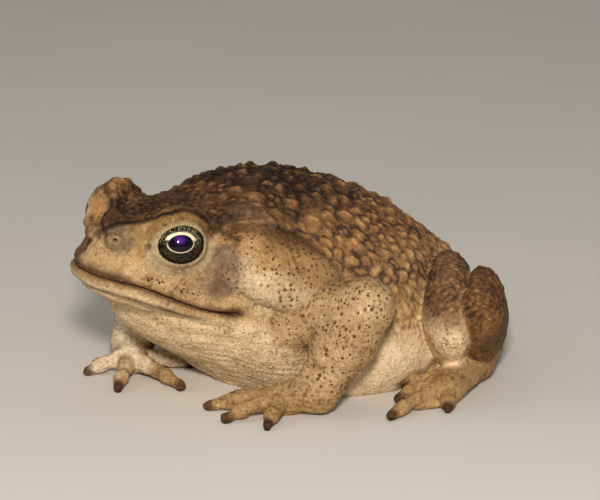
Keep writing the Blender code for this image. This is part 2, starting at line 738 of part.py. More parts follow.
def thinned_mesh(name, points, faces, triangles):
    """Make a mesh of about so many triangles and settle it on the floor."""
    rough = bpy.data.meshes.new(name + "_rough")
    rough.from_pydata(points.tolist(), [], faces.tolist())
    carrier = bpy.data.objects.new(name + "_rough", rough)
    bpy.context.scene.collection.objects.link(carrier)
    thin = carrier.modifiers.new("thin", "DECIMATE")
    thin.ratio = min(1.0, triangles / len(faces))
    depsgraph = bpy.context.evaluated_depsgraph_get()
    mesh = bpy.data.meshes.new_from_object(carrier.evaluated_get(depsgraph), depsgraph=depsgraph)
    bpy.data.objects.remove(carrier)
    bpy.data.meshes.remove(rough)
    places = np.empty(len(mesh.vertices) * 3)
    mesh.vertices.foreach_get("co", places)
    heights = places[2::3]
    heights[heights < FLOOR_SNAP] = 0.0
    mesh.vertices.foreach_set("co", places * METRES)
    mesh.name = name
    return mesh


def material(name, colour, roughness):
    """Return a Principled material of one colour."""
    made = bpy.data.materials.new(name)
    made.use_nodes = True
    shader = made.node_tree.nodes["Principled BSDF"]
    shader.inputs["Base Color"].default_value = (*colour, 1.0)
    shader.inputs["Roughness"].default_value = roughness
    return made


def add_part(name, mesh, colour, roughness=0.6):
    """Place a finished mesh as one named part with its own material."""
    mesh.materials.clear()
    mesh.materials.append(material(name, colour, roughness))
    mesh.shade_smooth()
    mesh.set_sharp_from_angle(angle=math.radians(SHARP_ANGLE))
    part = bpy.data.objects.new(name, mesh)
    bpy.context.scene.collection.objects.link(part)


def add_flesh(name, corners, colour, make_field, *choice):
    """Build one part of flesh from its field inside a block of space."""
    step, triangles = GRAIN[name.removesuffix("_left").removesuffix("_right")]
    space = Block(*corners, step)
    points, faces = largest_body(*surface(space, make_field(space, *choice)))
    add_part(name, thinned_mesh(name, points, faces, triangles), colour)


def add_eye(name, side):
    """Build one eyeball, its pole on the line of sight."""
    form = bmesh.new()
    bmesh.ops.create_uvsphere(form, u_segments=EYE_SEGMENTS, v_segments=EYE_RINGS,
                              radius=EYE_RADIUS * METRES)
    gaze = Vector(eye_axes(side)[0].tolist())
    turn = Vector((0.0, 0.0, 1.0)).rotation_difference(gaze).to_matrix().to_4x4()
    place = Matrix.Translation((HEAD.point(mirrored(EYE_CENTRE, side)) * METRES).tolist())
    bmesh.ops.transform(form, matrix=place @ turn, verts=form.verts)
    mesh = bpy.data.meshes.new(name)
    form.to_mesh(mesh)
    form.free()
    add_part(name, mesh, EYE_DARK, 0.1)


def span(title, points):
    """Return the low and high corners of the room that one kind of part needs round some points."""
    points = np.array(points, dtype=float)
    return points.min(axis=0) - ROOM[title], points.max(axis=0) + ROOM[title]


def add_side(word, side):
    """Build the eye, gland, eardrum, arm and hind leg of one side."""
    add_eye("eye_" + word, side)
    add_flesh("parotoid_" + word, span("parotoid", [GLAND_CENTRES[side]]), GLAND_TAN, gland_node, side)
    ear = HEAD.point(mirrored(EAR_CENTRE, side))
    add_flesh("tympanum_" + word, span("tympanum", [ear]), EAR_GREY, ear_node, side)
    arm = ARMS[side]
    lengths = (("upper_arm", [arm["shoulder"], arm["elbow"]]), ("forearm", [arm["elbow"], arm["wrist"]]),
               ("hand", [arm["wrist"], arm["palm"], *arm["tips"]]))
    for index, (title, points) in enumerate(lengths):
        add_flesh(title + "_" + word, span(title, points), ARM_TAN, arm_node, side, index)
    leg = {name: mirrored(LEG[name], side) for name in ("hip", "knee", "outer_knee", "heel", "web")}
    tips = [mirrored(tip, side) for tip in LEG["tips"]]
    lengths = (("thigh", [leg["hip"], leg["knee"]], LEG_TAN),
               ("shank", [leg["outer_knee"], leg["heel"]], LEG_TAN),
               ("foot", [leg["heel"], leg["web"], *tips], FOOT_TAN))
    for index, (title, points, colour) in enumerate(lengths):
        add_flesh(title + "_" + word, span(title, points), colour, leg_node, side, index)


def centre_on_origin():
    """Move every part so that the middle of the model's box stands over the origin."""
    meshes = [part.data for part in bpy.data.objects]
    places = np.concatenate([[vertex.co[:2] for vertex in mesh.vertices] for mesh in meshes])
    middle = (places.min(axis=0) + places.max(axis=0)) / 2
    for mesh in meshes:
        mesh.transform(Matrix.Translation((-middle[0], -middle[1], 0.0)))


def main():
    """Build every part of the toad."""
    for old in list(bpy.data.objects):
        bpy.data.objects.remove(old)
    add_flesh("head", HEAD_BLOCK, HEAD_TAN, head_node)
    add_flesh("lower_jaw", JAW_BLOCK, THROAT_CREAM, jaw_node)
    add_flesh("torso", TORSO_BLOCK, BACK_BROWN, torso_node)
    add_side("left", LEFT)
    add_side("right", RIGHT)
    centre_on_origin()


if __name__ == "__main__":
    main()
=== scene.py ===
"""A cane toad for close views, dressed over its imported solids.

Forms are measured in millimetres, in the frame of the toad: it faces -Y, its
left side is at +X and the floor is at z = 0. The skin is the zero level of one
field, negative inside, and becomes one closed mesh in metres. The frame of the
solids differs from this one by a small step along the floor, which is read
from the place of the left eye.
"""

import logging
import math
from collections.abc import Sequence
from dataclasses import dataclass
from enum import Enum
from functools import partial
from typing import Any

import bpy
import numpy as np
from mathutils import Matrix, Vector

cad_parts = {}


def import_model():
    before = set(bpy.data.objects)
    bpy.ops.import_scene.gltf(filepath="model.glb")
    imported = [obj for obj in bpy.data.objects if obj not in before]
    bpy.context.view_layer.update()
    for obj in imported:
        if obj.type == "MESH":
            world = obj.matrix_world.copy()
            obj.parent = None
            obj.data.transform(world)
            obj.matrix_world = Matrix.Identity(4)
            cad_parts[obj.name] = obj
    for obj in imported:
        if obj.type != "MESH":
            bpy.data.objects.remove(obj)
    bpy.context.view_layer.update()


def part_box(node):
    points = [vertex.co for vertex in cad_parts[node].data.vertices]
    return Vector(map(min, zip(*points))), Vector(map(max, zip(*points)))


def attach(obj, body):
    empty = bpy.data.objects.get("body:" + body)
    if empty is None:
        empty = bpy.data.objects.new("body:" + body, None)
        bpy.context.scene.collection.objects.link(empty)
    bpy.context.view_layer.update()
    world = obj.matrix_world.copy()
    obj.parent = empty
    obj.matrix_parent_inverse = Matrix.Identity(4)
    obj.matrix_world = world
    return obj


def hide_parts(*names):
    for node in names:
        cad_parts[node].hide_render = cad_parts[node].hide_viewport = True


Array = np.ndarray
Point = tuple[float, float, float]

METRES = 0.001
FAR = 60.0
SKIN_STEP = 0.45
SKIN_TRIANGLES = 190_000
SEED_STEP = 1.2
FLOOR_SNAP = 0.3
LIMB_FILLET = 0.7
ROOT_REACH = 14.0
UNREACHED = 9.0
WART_REACH = 2.3
DENSITY = 900_000.0
MAP_AXIS = 20.0
MAP_LENGTH = 140.0
MAP_MARGIN = 0.05
MAP_PATCH = 0.0015
TONE_NAMES = ("dark_tone", "middle_tone", "light_tone")

log = logging.getLogger("toad")


class Side(Enum):
    """The two sides of the body."""

    LEFT = 1
    RIGHT = -1

    @property
    def word(self) -> str:
        """Return the word that this side's node names end with."""
        return self.name.lower()

    def mirror(self, point: Sequence[float]) -> Point:
        """Return a left-hand point for this side."""
        return (point[0] * self.value, point[1], point[2])


class Samples:
    """Places at which a field is measured."""

    x: Array
    y: Array
    z: Array
    shape: tuple[int, ...]

    def blank(self, value: float = FAR) -> Array:
        """Return a field of one value."""
        return np.full(self.shape, value, dtype=np.float32)

    def window(self, centre: Sequence[float], reach: float) -> tuple[Any, "Samples"]:
        """Return the index and the samples near a place, here all of them."""
        return ..., self


class Spots(Samples):
    """Places given one by one."""

    def __init__(self, points: Array) -> None:
        """Take the places as rows of three coordinates."""
        self.x, self.y, self.z = np.asarray(points, dtype=np.float32).T
        self.shape = self.x.shape


class Block(Samples):
    """A regular block of places."""

    def __init__(self, low: Sequence[float], high: Sequence[float], step: float) -> None:
        """Fill the room between two corners.

        Args:
            low: Lowest corner.
            high: Highest corner.
            step: Distance between neighbours.
        """
        self.low = (np.floor(np.array(low) / step) - 2.5) * step
        self.step = step
        self.shape = tuple(int(n) for n in np.ceil((np.array(high) - self.low) / step) + 3)
        lines = [(self.low[i] + step * np.arange(self.shape[i])).astype(np.float32) for i in range(3)]
        self.x = lines[0][:, None, None]
        self.y = lines[1][None, :, None]
        self.z = lines[2][None, None, :]

    def window(self, centre: Sequence[float], reach: float) -> tuple[Any, "Block"]:
        """Return the slices and the smaller block within reach of a place.

        Args:
            centre: Middle of the window.
            reach: Half its side.

        Returns:
            The slices of the window in a field, and its own block.
        """
        first = np.floor((np.array(centre) - reach - self.low) / self.step).astype(int)
        last = np.ceil((np.array(centre) + reach - self.low) / self.step).astype(int) + 1
        first = np.clip(first, 0, self.shape)
        last = np.maximum(np.minimum(last, self.shape), first)
        cut = tuple(slice(a, b) for a, b in zip(first, last))
        part = object.__new__(Block)
        part.low, part.step = self.low + first * self.step, self.step
        part.shape = tuple(int(n) for n in last - first)
        part.x, part.y, part.z = self.x[cut[0]], self.y[:, cut[1]], self.z[:, :, cut[2]]
        return cut, part

    def read(self, values: Array, points: Array) -> Array:
        """Read a field between its samples.

        Args:
            values: The field over this block.
            points: Places as rows.

        Returns:
            The value at each place.
        """
        place = (points - self.low) / self.step
        base = np.clip(np.floor(place).astype(int), 0, np.array(self.shape) - 2)
        part = place - base
        total = np.zeros(len(points))
        for corner in np.ndindex(2, 2, 2):
            weight = np.prod(np.where(corner, part, 1.0 - part), axis=1)
            i, j, k = (base + corner).T
            total += weight * values[i, j, k]
        return total


def melt(first: Array, second: Array, width: float | Array) -> Array:
    """Return the field of two forms joined with a fillet of a width."""
    mix = np.clip(0.5 + 0.5 * (second - first) / width, 0.0, 1.0)
    return second + (first - second) * mix - width * mix * (1.0 - mix)


def ease(value: Array, low: float, high: float) -> Array:
    """Return a smooth step from 0 at low to 1 at high."""
    share = np.clip((value - low) / (high - low), 0.0, 1.0)
    return share * share * (3.0 - 2.0 * share)


def fade(value: Array, low: float, high: float) -> Array:
    """Return a smooth step from 1 at low to 0 at high."""
    return 1.0 - ease(value, low, high)


def bump(value: Array, middle: float | Array, width: float | Array) -> Array:
    """Return a soft rise that is 1 at its middle and dies away past its width."""
    return np.exp(-((value - middle) / width) ** 2)


def bumps(value: Array, rows: Sequence[Point]) -> Array:
    """Add up soft rises, each given by its height, middle and width."""
    return sum(height * bump(value, middle, width) for height, middle, width in rows)


def axes_along(along: Sequence[float], outward: Sequence[float]) -> Array:
    """Find a turn from two directions.

    Args:
        along: Direction of the second axis.
        outward: Rough direction of the first axis.

    Returns:
        The three axes as columns.
    """
    along = np.array(along, dtype=float) / np.linalg.norm(along)
    outward = np.array(outward, dtype=float) - along * float(np.array(outward) @ along)
    outward /= np.linalg.norm(outward)
    return np.stack([outward, along, np.cross(outward, along)], axis=1)


@dataclass(frozen=True)
class Pose:
    """A place and a turn, in degrees, that forms are measured in."""

    origin: Point = (0.0, 0.0, 0.0)
    yaw: float = 0.0
    pitch: float = 0.0
    roll: float = 0.0

    @property
    def turn(self) -> Array:
        """Return the axes of this pose as columns."""
        return np.array(Matrix.Rotation(math.radians(self.yaw), 3, "Z")
                        @ Matrix.Rotation(math.radians(-self.pitch), 3, "X")
                        @ Matrix.Rotation(math.radians(self.roll), 3, "Y"))

    def point(self, local: Sequence[float]) -> Array:
        """Return the world place of a local point."""
        return np.array(self.origin) + self.turn @ np.array(local, dtype=float)

    def coordinates(self, space: Samples) -> list[Array]:
        """Return the three local coordinates of all samples."""
        turn = self.turn
        deltas = (space.x - self.origin[0], space.y - self.origin[1], space.z - self.origin[2])
        return [sum(deltas[j] * turn[j, i] for j in range(3)) for i in range(3)]


@dataclass(frozen=True)
class Egg:
    """An ellipsoid: its middle, half lengths and axes in the world."""

    middle: Array
    half: Point
    axes: Array

    @classmethod
    def posed(cls, pose: Pose, centre: Point, half: Point) -> "Egg":
        """Return an ellipsoid that lies square in a pose."""
        return cls(pose.point(centre), half, pose.turn)

    @property
    def reach(self) -> float:
        """Return its greatest half length."""
        return max(self.half)

    def distance(self, space: Samples) -> Array:
        """Measure the distance to its surface.

        Args:
            space: Places to measure at.

        Returns:
            The distance, negative inside.
        """
        deltas = (space.x - self.middle[0], space.y - self.middle[1], space.z - self.middle[2])
        near = far = 0.0
        for i in range(3):
            along = sum(deltas[j] * self.axes[j, i] for j in range(3))
            near = near + (along / self.half[i]) ** 2
            far = far + (along / self.half[i] ** 2) ** 2
        near = np.sqrt(near)
        return near * (near - 1.0) / np.sqrt(far + 1e-9)


@dataclass(frozen=True)
class Rod:
    """A straight rod with round ends, whose radius changes evenly."""

    start: Array
    end: Array
    start_radius: float
    end_radius: float

    @property
    def middle(self) -> Array:
        """Return its middle."""
        return (np.asarray(self.start, dtype=float) + np.asarray(self.end, dtype=float)) / 2

    @property
    def reach(self) -> float:
        """Return how far it reaches from its middle."""
        half = float(np.linalg.norm(np.subtract(self.end, self.start))) / 2
        return half + max(self.start_radius, self.end_radius)

    def distance(self, space: Samples) -> Array:
        """Measure the distance to its surface.

        Args:
            space: Places to measure at.

        Returns:
            The distance, negative inside.
        """
        run = np.subtract(self.end, self.start).astype(float)
        deltas = (space.x - self.start[0], space.y - self.start[1], space.z - self.start[2])
        share = np.clip(sum(deltas[i] * run[i] for i in range(3)) / float(run @ run), 0.0, 1.0)
        away = np.sqrt(sum((deltas[i] - share * run[i]) ** 2 for i in range(3)))
        return away - (self.start_radius + share * (self.end_radius - self.start_radius))


@dataclass
class Clay:
    """A field over some samples, which forms are melted into and cut from."""

    space: Samples
    field: Array

    @classmethod
    def empty(cls, space: Samples) -> "Clay":
        """Return clay with nothing in it."""
        return cls(space, space.blank())

    def add(self, form: Egg | Rod, width: float) -> None:
        """Melt a form in with a fillet of a width, working only near it."""
        cut, near = self.space.window(form.middle, form.reach + 3.0 * width + 2.0)
        self.field[cut] = melt(self.field[cut], form.distance(near), width)

    def chain(self, joints: Sequence[Sequence[float]], radii: Sequence[float], width: float) -> None:
        """Melt in a row of rods, given by the place and radius of each joint."""
        for i in range(len(joints) - 1):
            self.add(Rod(np.array(joints[i]), np.array(joints[i + 1]), radii[i], radii[i + 1]), width)

    def drill(self, form: Egg | Rod) -> None:
        """Take a form away, working only near it."""
        cut, near = self.space.window(form.middle, form.reach + 2.0)
        self.field[cut] = np.maximum(self.field[cut], -form.distance(near))


@dataclass(frozen=True)
class Trunk:
    """The trunk, from the chest to the vent."""

    pose: Pose = Pose(origin=(0.0, 0.0, 20.0), roll=4.0)
    masses: tuple[tuple[Point, Point], ...] = (
        ((0.0, -13.0, 5.0), (25.0, 18.0, 19.5)),
        ((19.0, -11.0, -3.0), (12.0, 12.0, 11.0)),
        ((-19.0, -11.0, -3.0), (12.0, 12.0, 11.0)),
        ((0.0, -3.5, 14.2), (24.0, 22.0, 17.0)),
        ((0.0, 13.0, 1.2), (36.0, 29.0, 24.6)),
        ((0.0, 12.5, -10.5), (40.0, 34.0, 18.5)),
        ((0.0, 34.0, -4.0), (27.0, 21.0, 14.5)),
        ((0.0, 49.0, -9.0), (12.0, 9.0, 8.0)),
    )
    softness: float = 9.0

    def field(self, space: Samples) -> Array:
        """Return the field of the trunk."""
        clay = Clay.empty(space)
        for centre, half in self.masses:
            clay.add(Egg.posed(self.pose, centre, half), self.softness)
        return clay.field


@dataclass(frozen=True)
class Socket:
    """One eye's place in the head, and the opening between its lids."""

    side: Side
    head: Pose
    radius: float = 6.3
    centre: Point = (11.9, -16.9, 12.9)
    gaze: Point = (0.844, -0.51, 0.164)
    opening: tuple[float, float] = (5.75, 4.5)
    clearance: float = 0.05
    lid: float = 0.75
    rims: tuple[Point, ...] = ((0.3, 0.5, 0.4),)
    folds: tuple[Point, ...] = ((0.25, 1.5, 0.3), (0.15, 2.8, 0.4))

    @property
    def middle(self) -> Array:
        """Return the world place of the eye's centre."""
        return self.head.point(self.side.mirror(self.centre))

    def axes(self) -> list[Array]:
        """Return the gaze, the level direction along the lids and the one across them."""
        gaze = self.head.turn @ np.array(self.side.mirror(self.gaze))
        gaze /= np.linalg.norm(gaze)
        along = np.cross((0.0, 0.0, 1.0), gaze)
        along /= np.linalg.norm(along)
        return [gaze, along, np.cross(gaze, along)]

    def measures(self, space: Samples) -> tuple[Array, Array, Array]:
        """Measure places against the eye.

        Args:
            space: Places to measure at.

        Returns:
            The distance from its centre, how far outside the opening, and the depth along the gaze.
        """
        deltas = [line - at for line, at in zip((space.x, space.y, space.z), self.middle)]
        depth, wide, tall = (sum(deltas[i] * axis[i] for i in range(3)) for axis in self.axes())
        outside = np.sqrt((wide / self.opening[0]) ** 2 + (tall / self.opening[1]) ** 2) - 1.0
        return np.sqrt(sum(delta ** 2 for delta in deltas)), outside * self.opening[1], depth

    def shape_lids(self, clay: Clay) -> None:
        """Lay the lids over the eye and open them, working near the eye.

        Args:
            clay: The head's clay.
        """
        cut, near = clay.space.window(self.middle, self.radius + 5.0)
        away, outside, depth = self.measures(near)
        swell = self.lid + bumps(outside, self.rims)
        shell = np.maximum(away - self.radius - swell, -1.0 - depth)
        field = melt(clay.field[cut], shell, 1.2)
        field = field + bumps(outside, self.folds) * ease(depth, 0.0, 2.0)
        hollow = np.minimum(away - self.radius - self.clearance, np.maximum(outside, -depth))
        clay.field[cut] = np.maximum(field, -hollow)


@dataclass(frozen=True)
class Gland:
    """One parotoid gland, behind the eardrum."""

    side: Side
    centres: tuple[Point, Point] = ((25.9, -15.0, 32.8), (-25.7, -14.0, 31.4))
    along: Point = (0.54, 0.75, -0.39)
    outward: Point = (0.8, -0.25, 0.55)
    half: Point = (6.0, 16.5, 9.6)

    @property
    def form(self) -> Egg:
        """Return the gland as an ellipsoid."""
        centre = self.centres[0 if self.side is Side.LEFT else 1]
        turn = axes_along(self.side.mirror(self.along), self.side.mirror(self.outward))
        return Egg(np.array(centre), self.half, turn)

    def coordinates(self, space: Samples) -> list[Array]:
        """Return places along the gland's own axes: outward, along and upward."""
        form = self.form
        deltas = (space.x - form.middle[0], space.y - form.middle[1], space.z - form.middle[2])
        out, along, up = (sum(deltas[j] * form.axes[j, i] for j in range(3)) for i in range(3))
        return [out, along, up * self.side.value]

    def bordered(self, space: Samples) -> Array:
        """Return 1 where a fold borders the gland, above and behind, and 0 against the ear."""
        along, lift = self.coordinates(space)[1:]
        return ease(along - np.where(lift > 0.0, -6.0, 1.0), -3.0, 2.0)


@dataclass(frozen=True)
class Head:
    """The head: hinge of the jaw at its origin, mouth line at its zero height."""

    pose: Pose = Pose(origin=(-0.6, -26.3, 24.6), yaw=11.0, pitch=16.0, roll=7.5)
    masses: tuple[tuple[Point, Point], ...] = (
        ((0.0, -2.0, 7.4), (21.0, 18.0, 12.2)),
        ((0.0, -12.0, 8.4), (16.5, 14.5, 11.0)),
        ((0.0, -20.6, 4.8), (10.6, 10.0, 7.8)),
        ((0.0, -9.0, -1.0), (18.5, 20.5, 4.8)),
        ((0.0, 2.0, -6.0), (18.0, 17.0, 9.0)),
    )
    bridge: tuple[Point, Point] = ((0.0, -22.5, 9.6), (5.6, 7.2, 4.6))
    softness: float = 5.0
    brow: tuple[Point, Point] = ((11.1, -16.9, 13.9), (5.6, 7.7, 8.0))
    crest: tuple[Point, ...] = (
        (0.0, -29.2, 12.2), (1.6, -28.5, 13.2), (3.4, -26.5, 14.0), (4.8, -24.0, 14.9), (6.8, -22.0, 16.6),
        (9.2, -20.9, 19.0), (11.6, -18.8, 20.7), (12.9, -13.8, 20.8), (15.1, -8.4, 18.4), (18.6, -5.6, 16.2))
    crest_radii: tuple[float, ...] = (0.7, 0.8, 0.8, 0.8, 0.8, 0.9, 1.0, 1.0, 0.9, 0.8)
    shoulder: tuple[Point, ...] = (
        (15.3, -5.4, 19.4), (11.8, -1.2, 22.2), (13.6, 1.5, 23.2), (18.0, 1.7, 23.6), (22.5, 2.0, 22.8))
    shoulder_radii: tuple[float, ...] = (1.2, 1.6, 1.8, 1.6, 1.1)
    right_step: Point = (0.2, 1.0, -2.2)
    crest_mark: tuple[Point, ...] = (
        (-2.0, -29.9, 9.9), (0.3, -29.8, 11.9), (2.4, -29.1, 13.6), (4.0, -27.0, 14.8), (5.5, -24.6, 15.5),
        (6.8, -23.1, 16.8), (9.5, -22.9, 18.5), (11.7, -21.9, 20.0), (12.5, -19.5, 21.2), (13.3, -15.5, 21.4),
        (14.4, -12.7, 20.3), (15.2, -10.5, 19.0), (16.8, -8.2, 18.0), (21.0, -6.3, 17.5))
    # Line down the far side of the snout, along which shade is painted.
    snout_mark: tuple[Point, ...] = (
        (-5.4, -29.5, 1.1), (-4.5, -29.9, 3.6), (-3.9, -29.7, 6.8), (-2.0, -29.9, 9.9))
    mouth: tuple[float, ...] = (20.8, 35.8, 15.6, 1.25)
    lips: tuple[Point, ...] = ((1.0, 1.9, 1.6), (0.7, -1.7, 1.2))
    chin_folds: tuple[Point, ...] = ((0.5, -4.0, 0.5), (0.35, -7.2, 0.6))
    groove_half: float = 0.36
    groove_depth: float = 1.3
    mouth_end: float = -2.2
    pleat: float = 1.55
    crease: float = 1.7
    nostril: Point = (3.8, -29.0, 9.7)
    nostril_out: Point = (7.4, -32.6, 11.4)
    nostril_swell: Point = (2.3, 2.1, 2.0)
    nostril_radii: tuple[float, float] = (0.55, 0.6)
    ear: Point = (19.3, -6.8, 7.9)
    ear_half: Point = (3.0, 4.4, 6.2)
    ear_rim: Point = (2.2, 5.4, 7.2)
    middle: Point = (0.0, -12.0, 5.0)
    reach: float = 42.0

    def field(self, space: Samples) -> Array:
        """Return the plain field of the head.

        Args:
            space: Places to measure at.

        Returns:
            The field of the skull, the jaw, the throat and the brows.
        """
        clay = Clay.empty(space)
        for centre, half in self.masses:
            clay.add(Egg.posed(self.pose, centre, half), self.softness)
        clay.add(Egg.posed(self.pose, *self.bridge), 2.0)
        for side in Side:
            clay.add(self.egg(side, *self.brow), 2.5)
        return clay.field

    def over_mouth(self, space: Samples) -> Array:
        """Return the height of places over the curved sheet between the lips."""
        back, up = self.pose.coordinates(space)[1:]
        return up - np.polyval(self.mouth, np.clip(back, -33.0, 0.0) / 30.0)

    def egg(self, side: Side, centre: Point, half: Point) -> Egg:
        """Return an ellipsoid set in one side of the head."""
        return Egg.posed(self.pose, side.mirror(centre), half)

    def rod(self, side: Side, start: Point, end: Point, radii: tuple[float, float]) -> Rod:
        """Return a rod set in one side of the head."""
        return Rod(self.pose.point(side.mirror(start)), self.pose.point(side.mirror(end)), *radii)

    def add_crest(self, clay: Clay, side: Side) -> None:
        """Melt in the crest from the snout over one eye."""
        clay.chain([self.pose.point(side.mirror(point)) for point in self.crest], self.crest_radii, 1.0)

    def add_shoulder(self, clay: Clay, side: Side) -> None:
        """Melt in the ridge from behind one eye to the top of the gland.

        Args:
            clay: What it is melted into.
            side: The side.
        """
        places = [self.pose.point(point) for point in self.shoulder]
        if side is Side.RIGHT:
            places = [np.array(side.mirror(place)) + self.right_step for place in places]
        clay.chain(places, self.shoulder_radii, 1.4)

    def shape_face(self, whole: Clay) -> None:
        """Work the lips, crests, nostrils, eardrums and folds in.

        Args:
            whole: Clay of the whole body.
        """
        cut, near = whole.space.window(self.pose.point(self.middle), self.reach)
        clay = Clay(near, whole.field[cut].copy())
        across, back, up = self.pose.coordinates(near)
        over = self.over_mouth(near)
        front = ease(-back, 0.0, 7.0)
        clay.field += (bumps(over, self.chin_folds) - 0.7 * bumps(over, self.lips)) * front
        throat = ease(-over, 6.0, 10.0) * fade(back, 14.0, 22.0)
        pleats = np.sin(math.tau * (up - 0.18 * back + 0.4 * np.sin(across * 0.5)) / self.pleat)
        clay.field += 0.1 * throat * pleats
        for side in Side:
            self.add_crest(clay, side)
            self.add_shoulder(clay, side)
            clay.add(self.egg(side, self.nostril, self.nostril_swell), 1.2)
            clay.add(self.egg(side, self.ear, self.ear_rim), 1.4)
            drum = self.egg(side, self.ear, self.ear_half).distance(near)
            clay.field += 0.55 * fade(drum, -1.6, 0.4)
            creases = np.sin(math.tau * (back + 0.12 * up) / self.crease)
            behind = ease(back, -2.6, -0.6) * fade(back, 4.0, 7.0) * ease(up, 0.0, 3.0)
            clay.field += 0.2 * creases * behind * ease(across * side.value, 12.0, 16.0)
            clay.drill(self.rod(side, self.nostril, self.nostril_out, self.nostril_radii))
            Socket(side, self.pose).shape_lids(clay)
        groove = np.maximum(np.abs(over) - self.groove_half, back - self.mouth_end)
        groove = np.maximum(groove, -(clay.field + self.groove_depth))
        whole.field[cut] = np.maximum(clay.field, -groove)


def digit(root: Sequence[float], tip: Sequence[float], shares: Sequence[float]) -> list[Array]:
    """Return the joints of a low arched finger or toe, at shares of its length from the root."""
    root, tip = np.array(root, dtype=float), np.array(tip, dtype=float)
    return [root + share * (tip - root) + (0.0, 0.0, 0.8 * math.sin(math.pi * share)) for share in shares]


@dataclass(frozen=True)
class Arm:
    """One foreleg, from the shoulder to four fingers."""

    side: Side
    shoulder: Point
    elbow: Point
    wrist: Point
    palm: Point
    tips: tuple[Point, ...]
    shares: tuple[float, ...] = (0.0, 0.36, 0.52, 0.72, 1.0)
    radii: tuple[float, ...] = (3.1, 1.8, 1.5, 1.6, 1.15)
    upper_radii: tuple[float, float] = (8.0, 6.4)
    lower_radii: tuple[float, ...] = (6.4, 7.0, 5.4)
    palm_radii: tuple[float, float] = (4.7, 3.7)
    thickest: float = 0.4
    wrist_fillet: float = 2.0

    @classmethod
    def made(cls, side: Side) -> "Arm":
        """Return the foreleg of one side, each in its own stance."""
        if side is Side.LEFT:
            return cls(side, (22.0, -13.0, 18.0), (45.5, -3.5, 26.3), (40.0, -13.5, 6.0), (34.5, -19.5, 3.4),
                       ((20.0, -24.0, 1.15), (22.5, -33.0, 1.15), (33.0, -35.0, 1.15), (43.0, -30.0, 1.15)))
        return cls(side, (-22.0, -15.0, 20.0), (-41.0, -8.0, 25.0), (-21.0, -27.0, 5.5), (-14.0, -32.0, 3.4),
                   ((-9.0, -18.0, 1.15), (6.0, -30.0, 1.15), (-2.0, -43.0, 1.15), (-18.0, -42.0, 1.15)))

    def hand_field(self, space: Samples) -> Array:
        """Return the field of the hand."""
        clay = Clay.empty(space)
        clay.add(Rod(np.array(self.wrist), np.array(self.palm), *self.palm_radii), 1.2)
        for tip in self.tips:
            clay.chain(digit(self.palm, tip, self.shares), self.radii, 1.2)
        return clay.field

    def field(self, space: Samples) -> Array:
        """Return the field of the whole foreleg."""
        elbow, wrist = np.array(self.elbow), np.array(self.wrist)
        clay = Clay.empty(space)
        clay.add(Rod(np.array(self.shoulder), elbow, *self.upper_radii), 3.0)
        clay.chain((elbow, elbow + self.thickest * (wrist - elbow), wrist), self.lower_radii, 3.0)
        return melt(clay.field, self.hand_field(space), self.wrist_fillet)


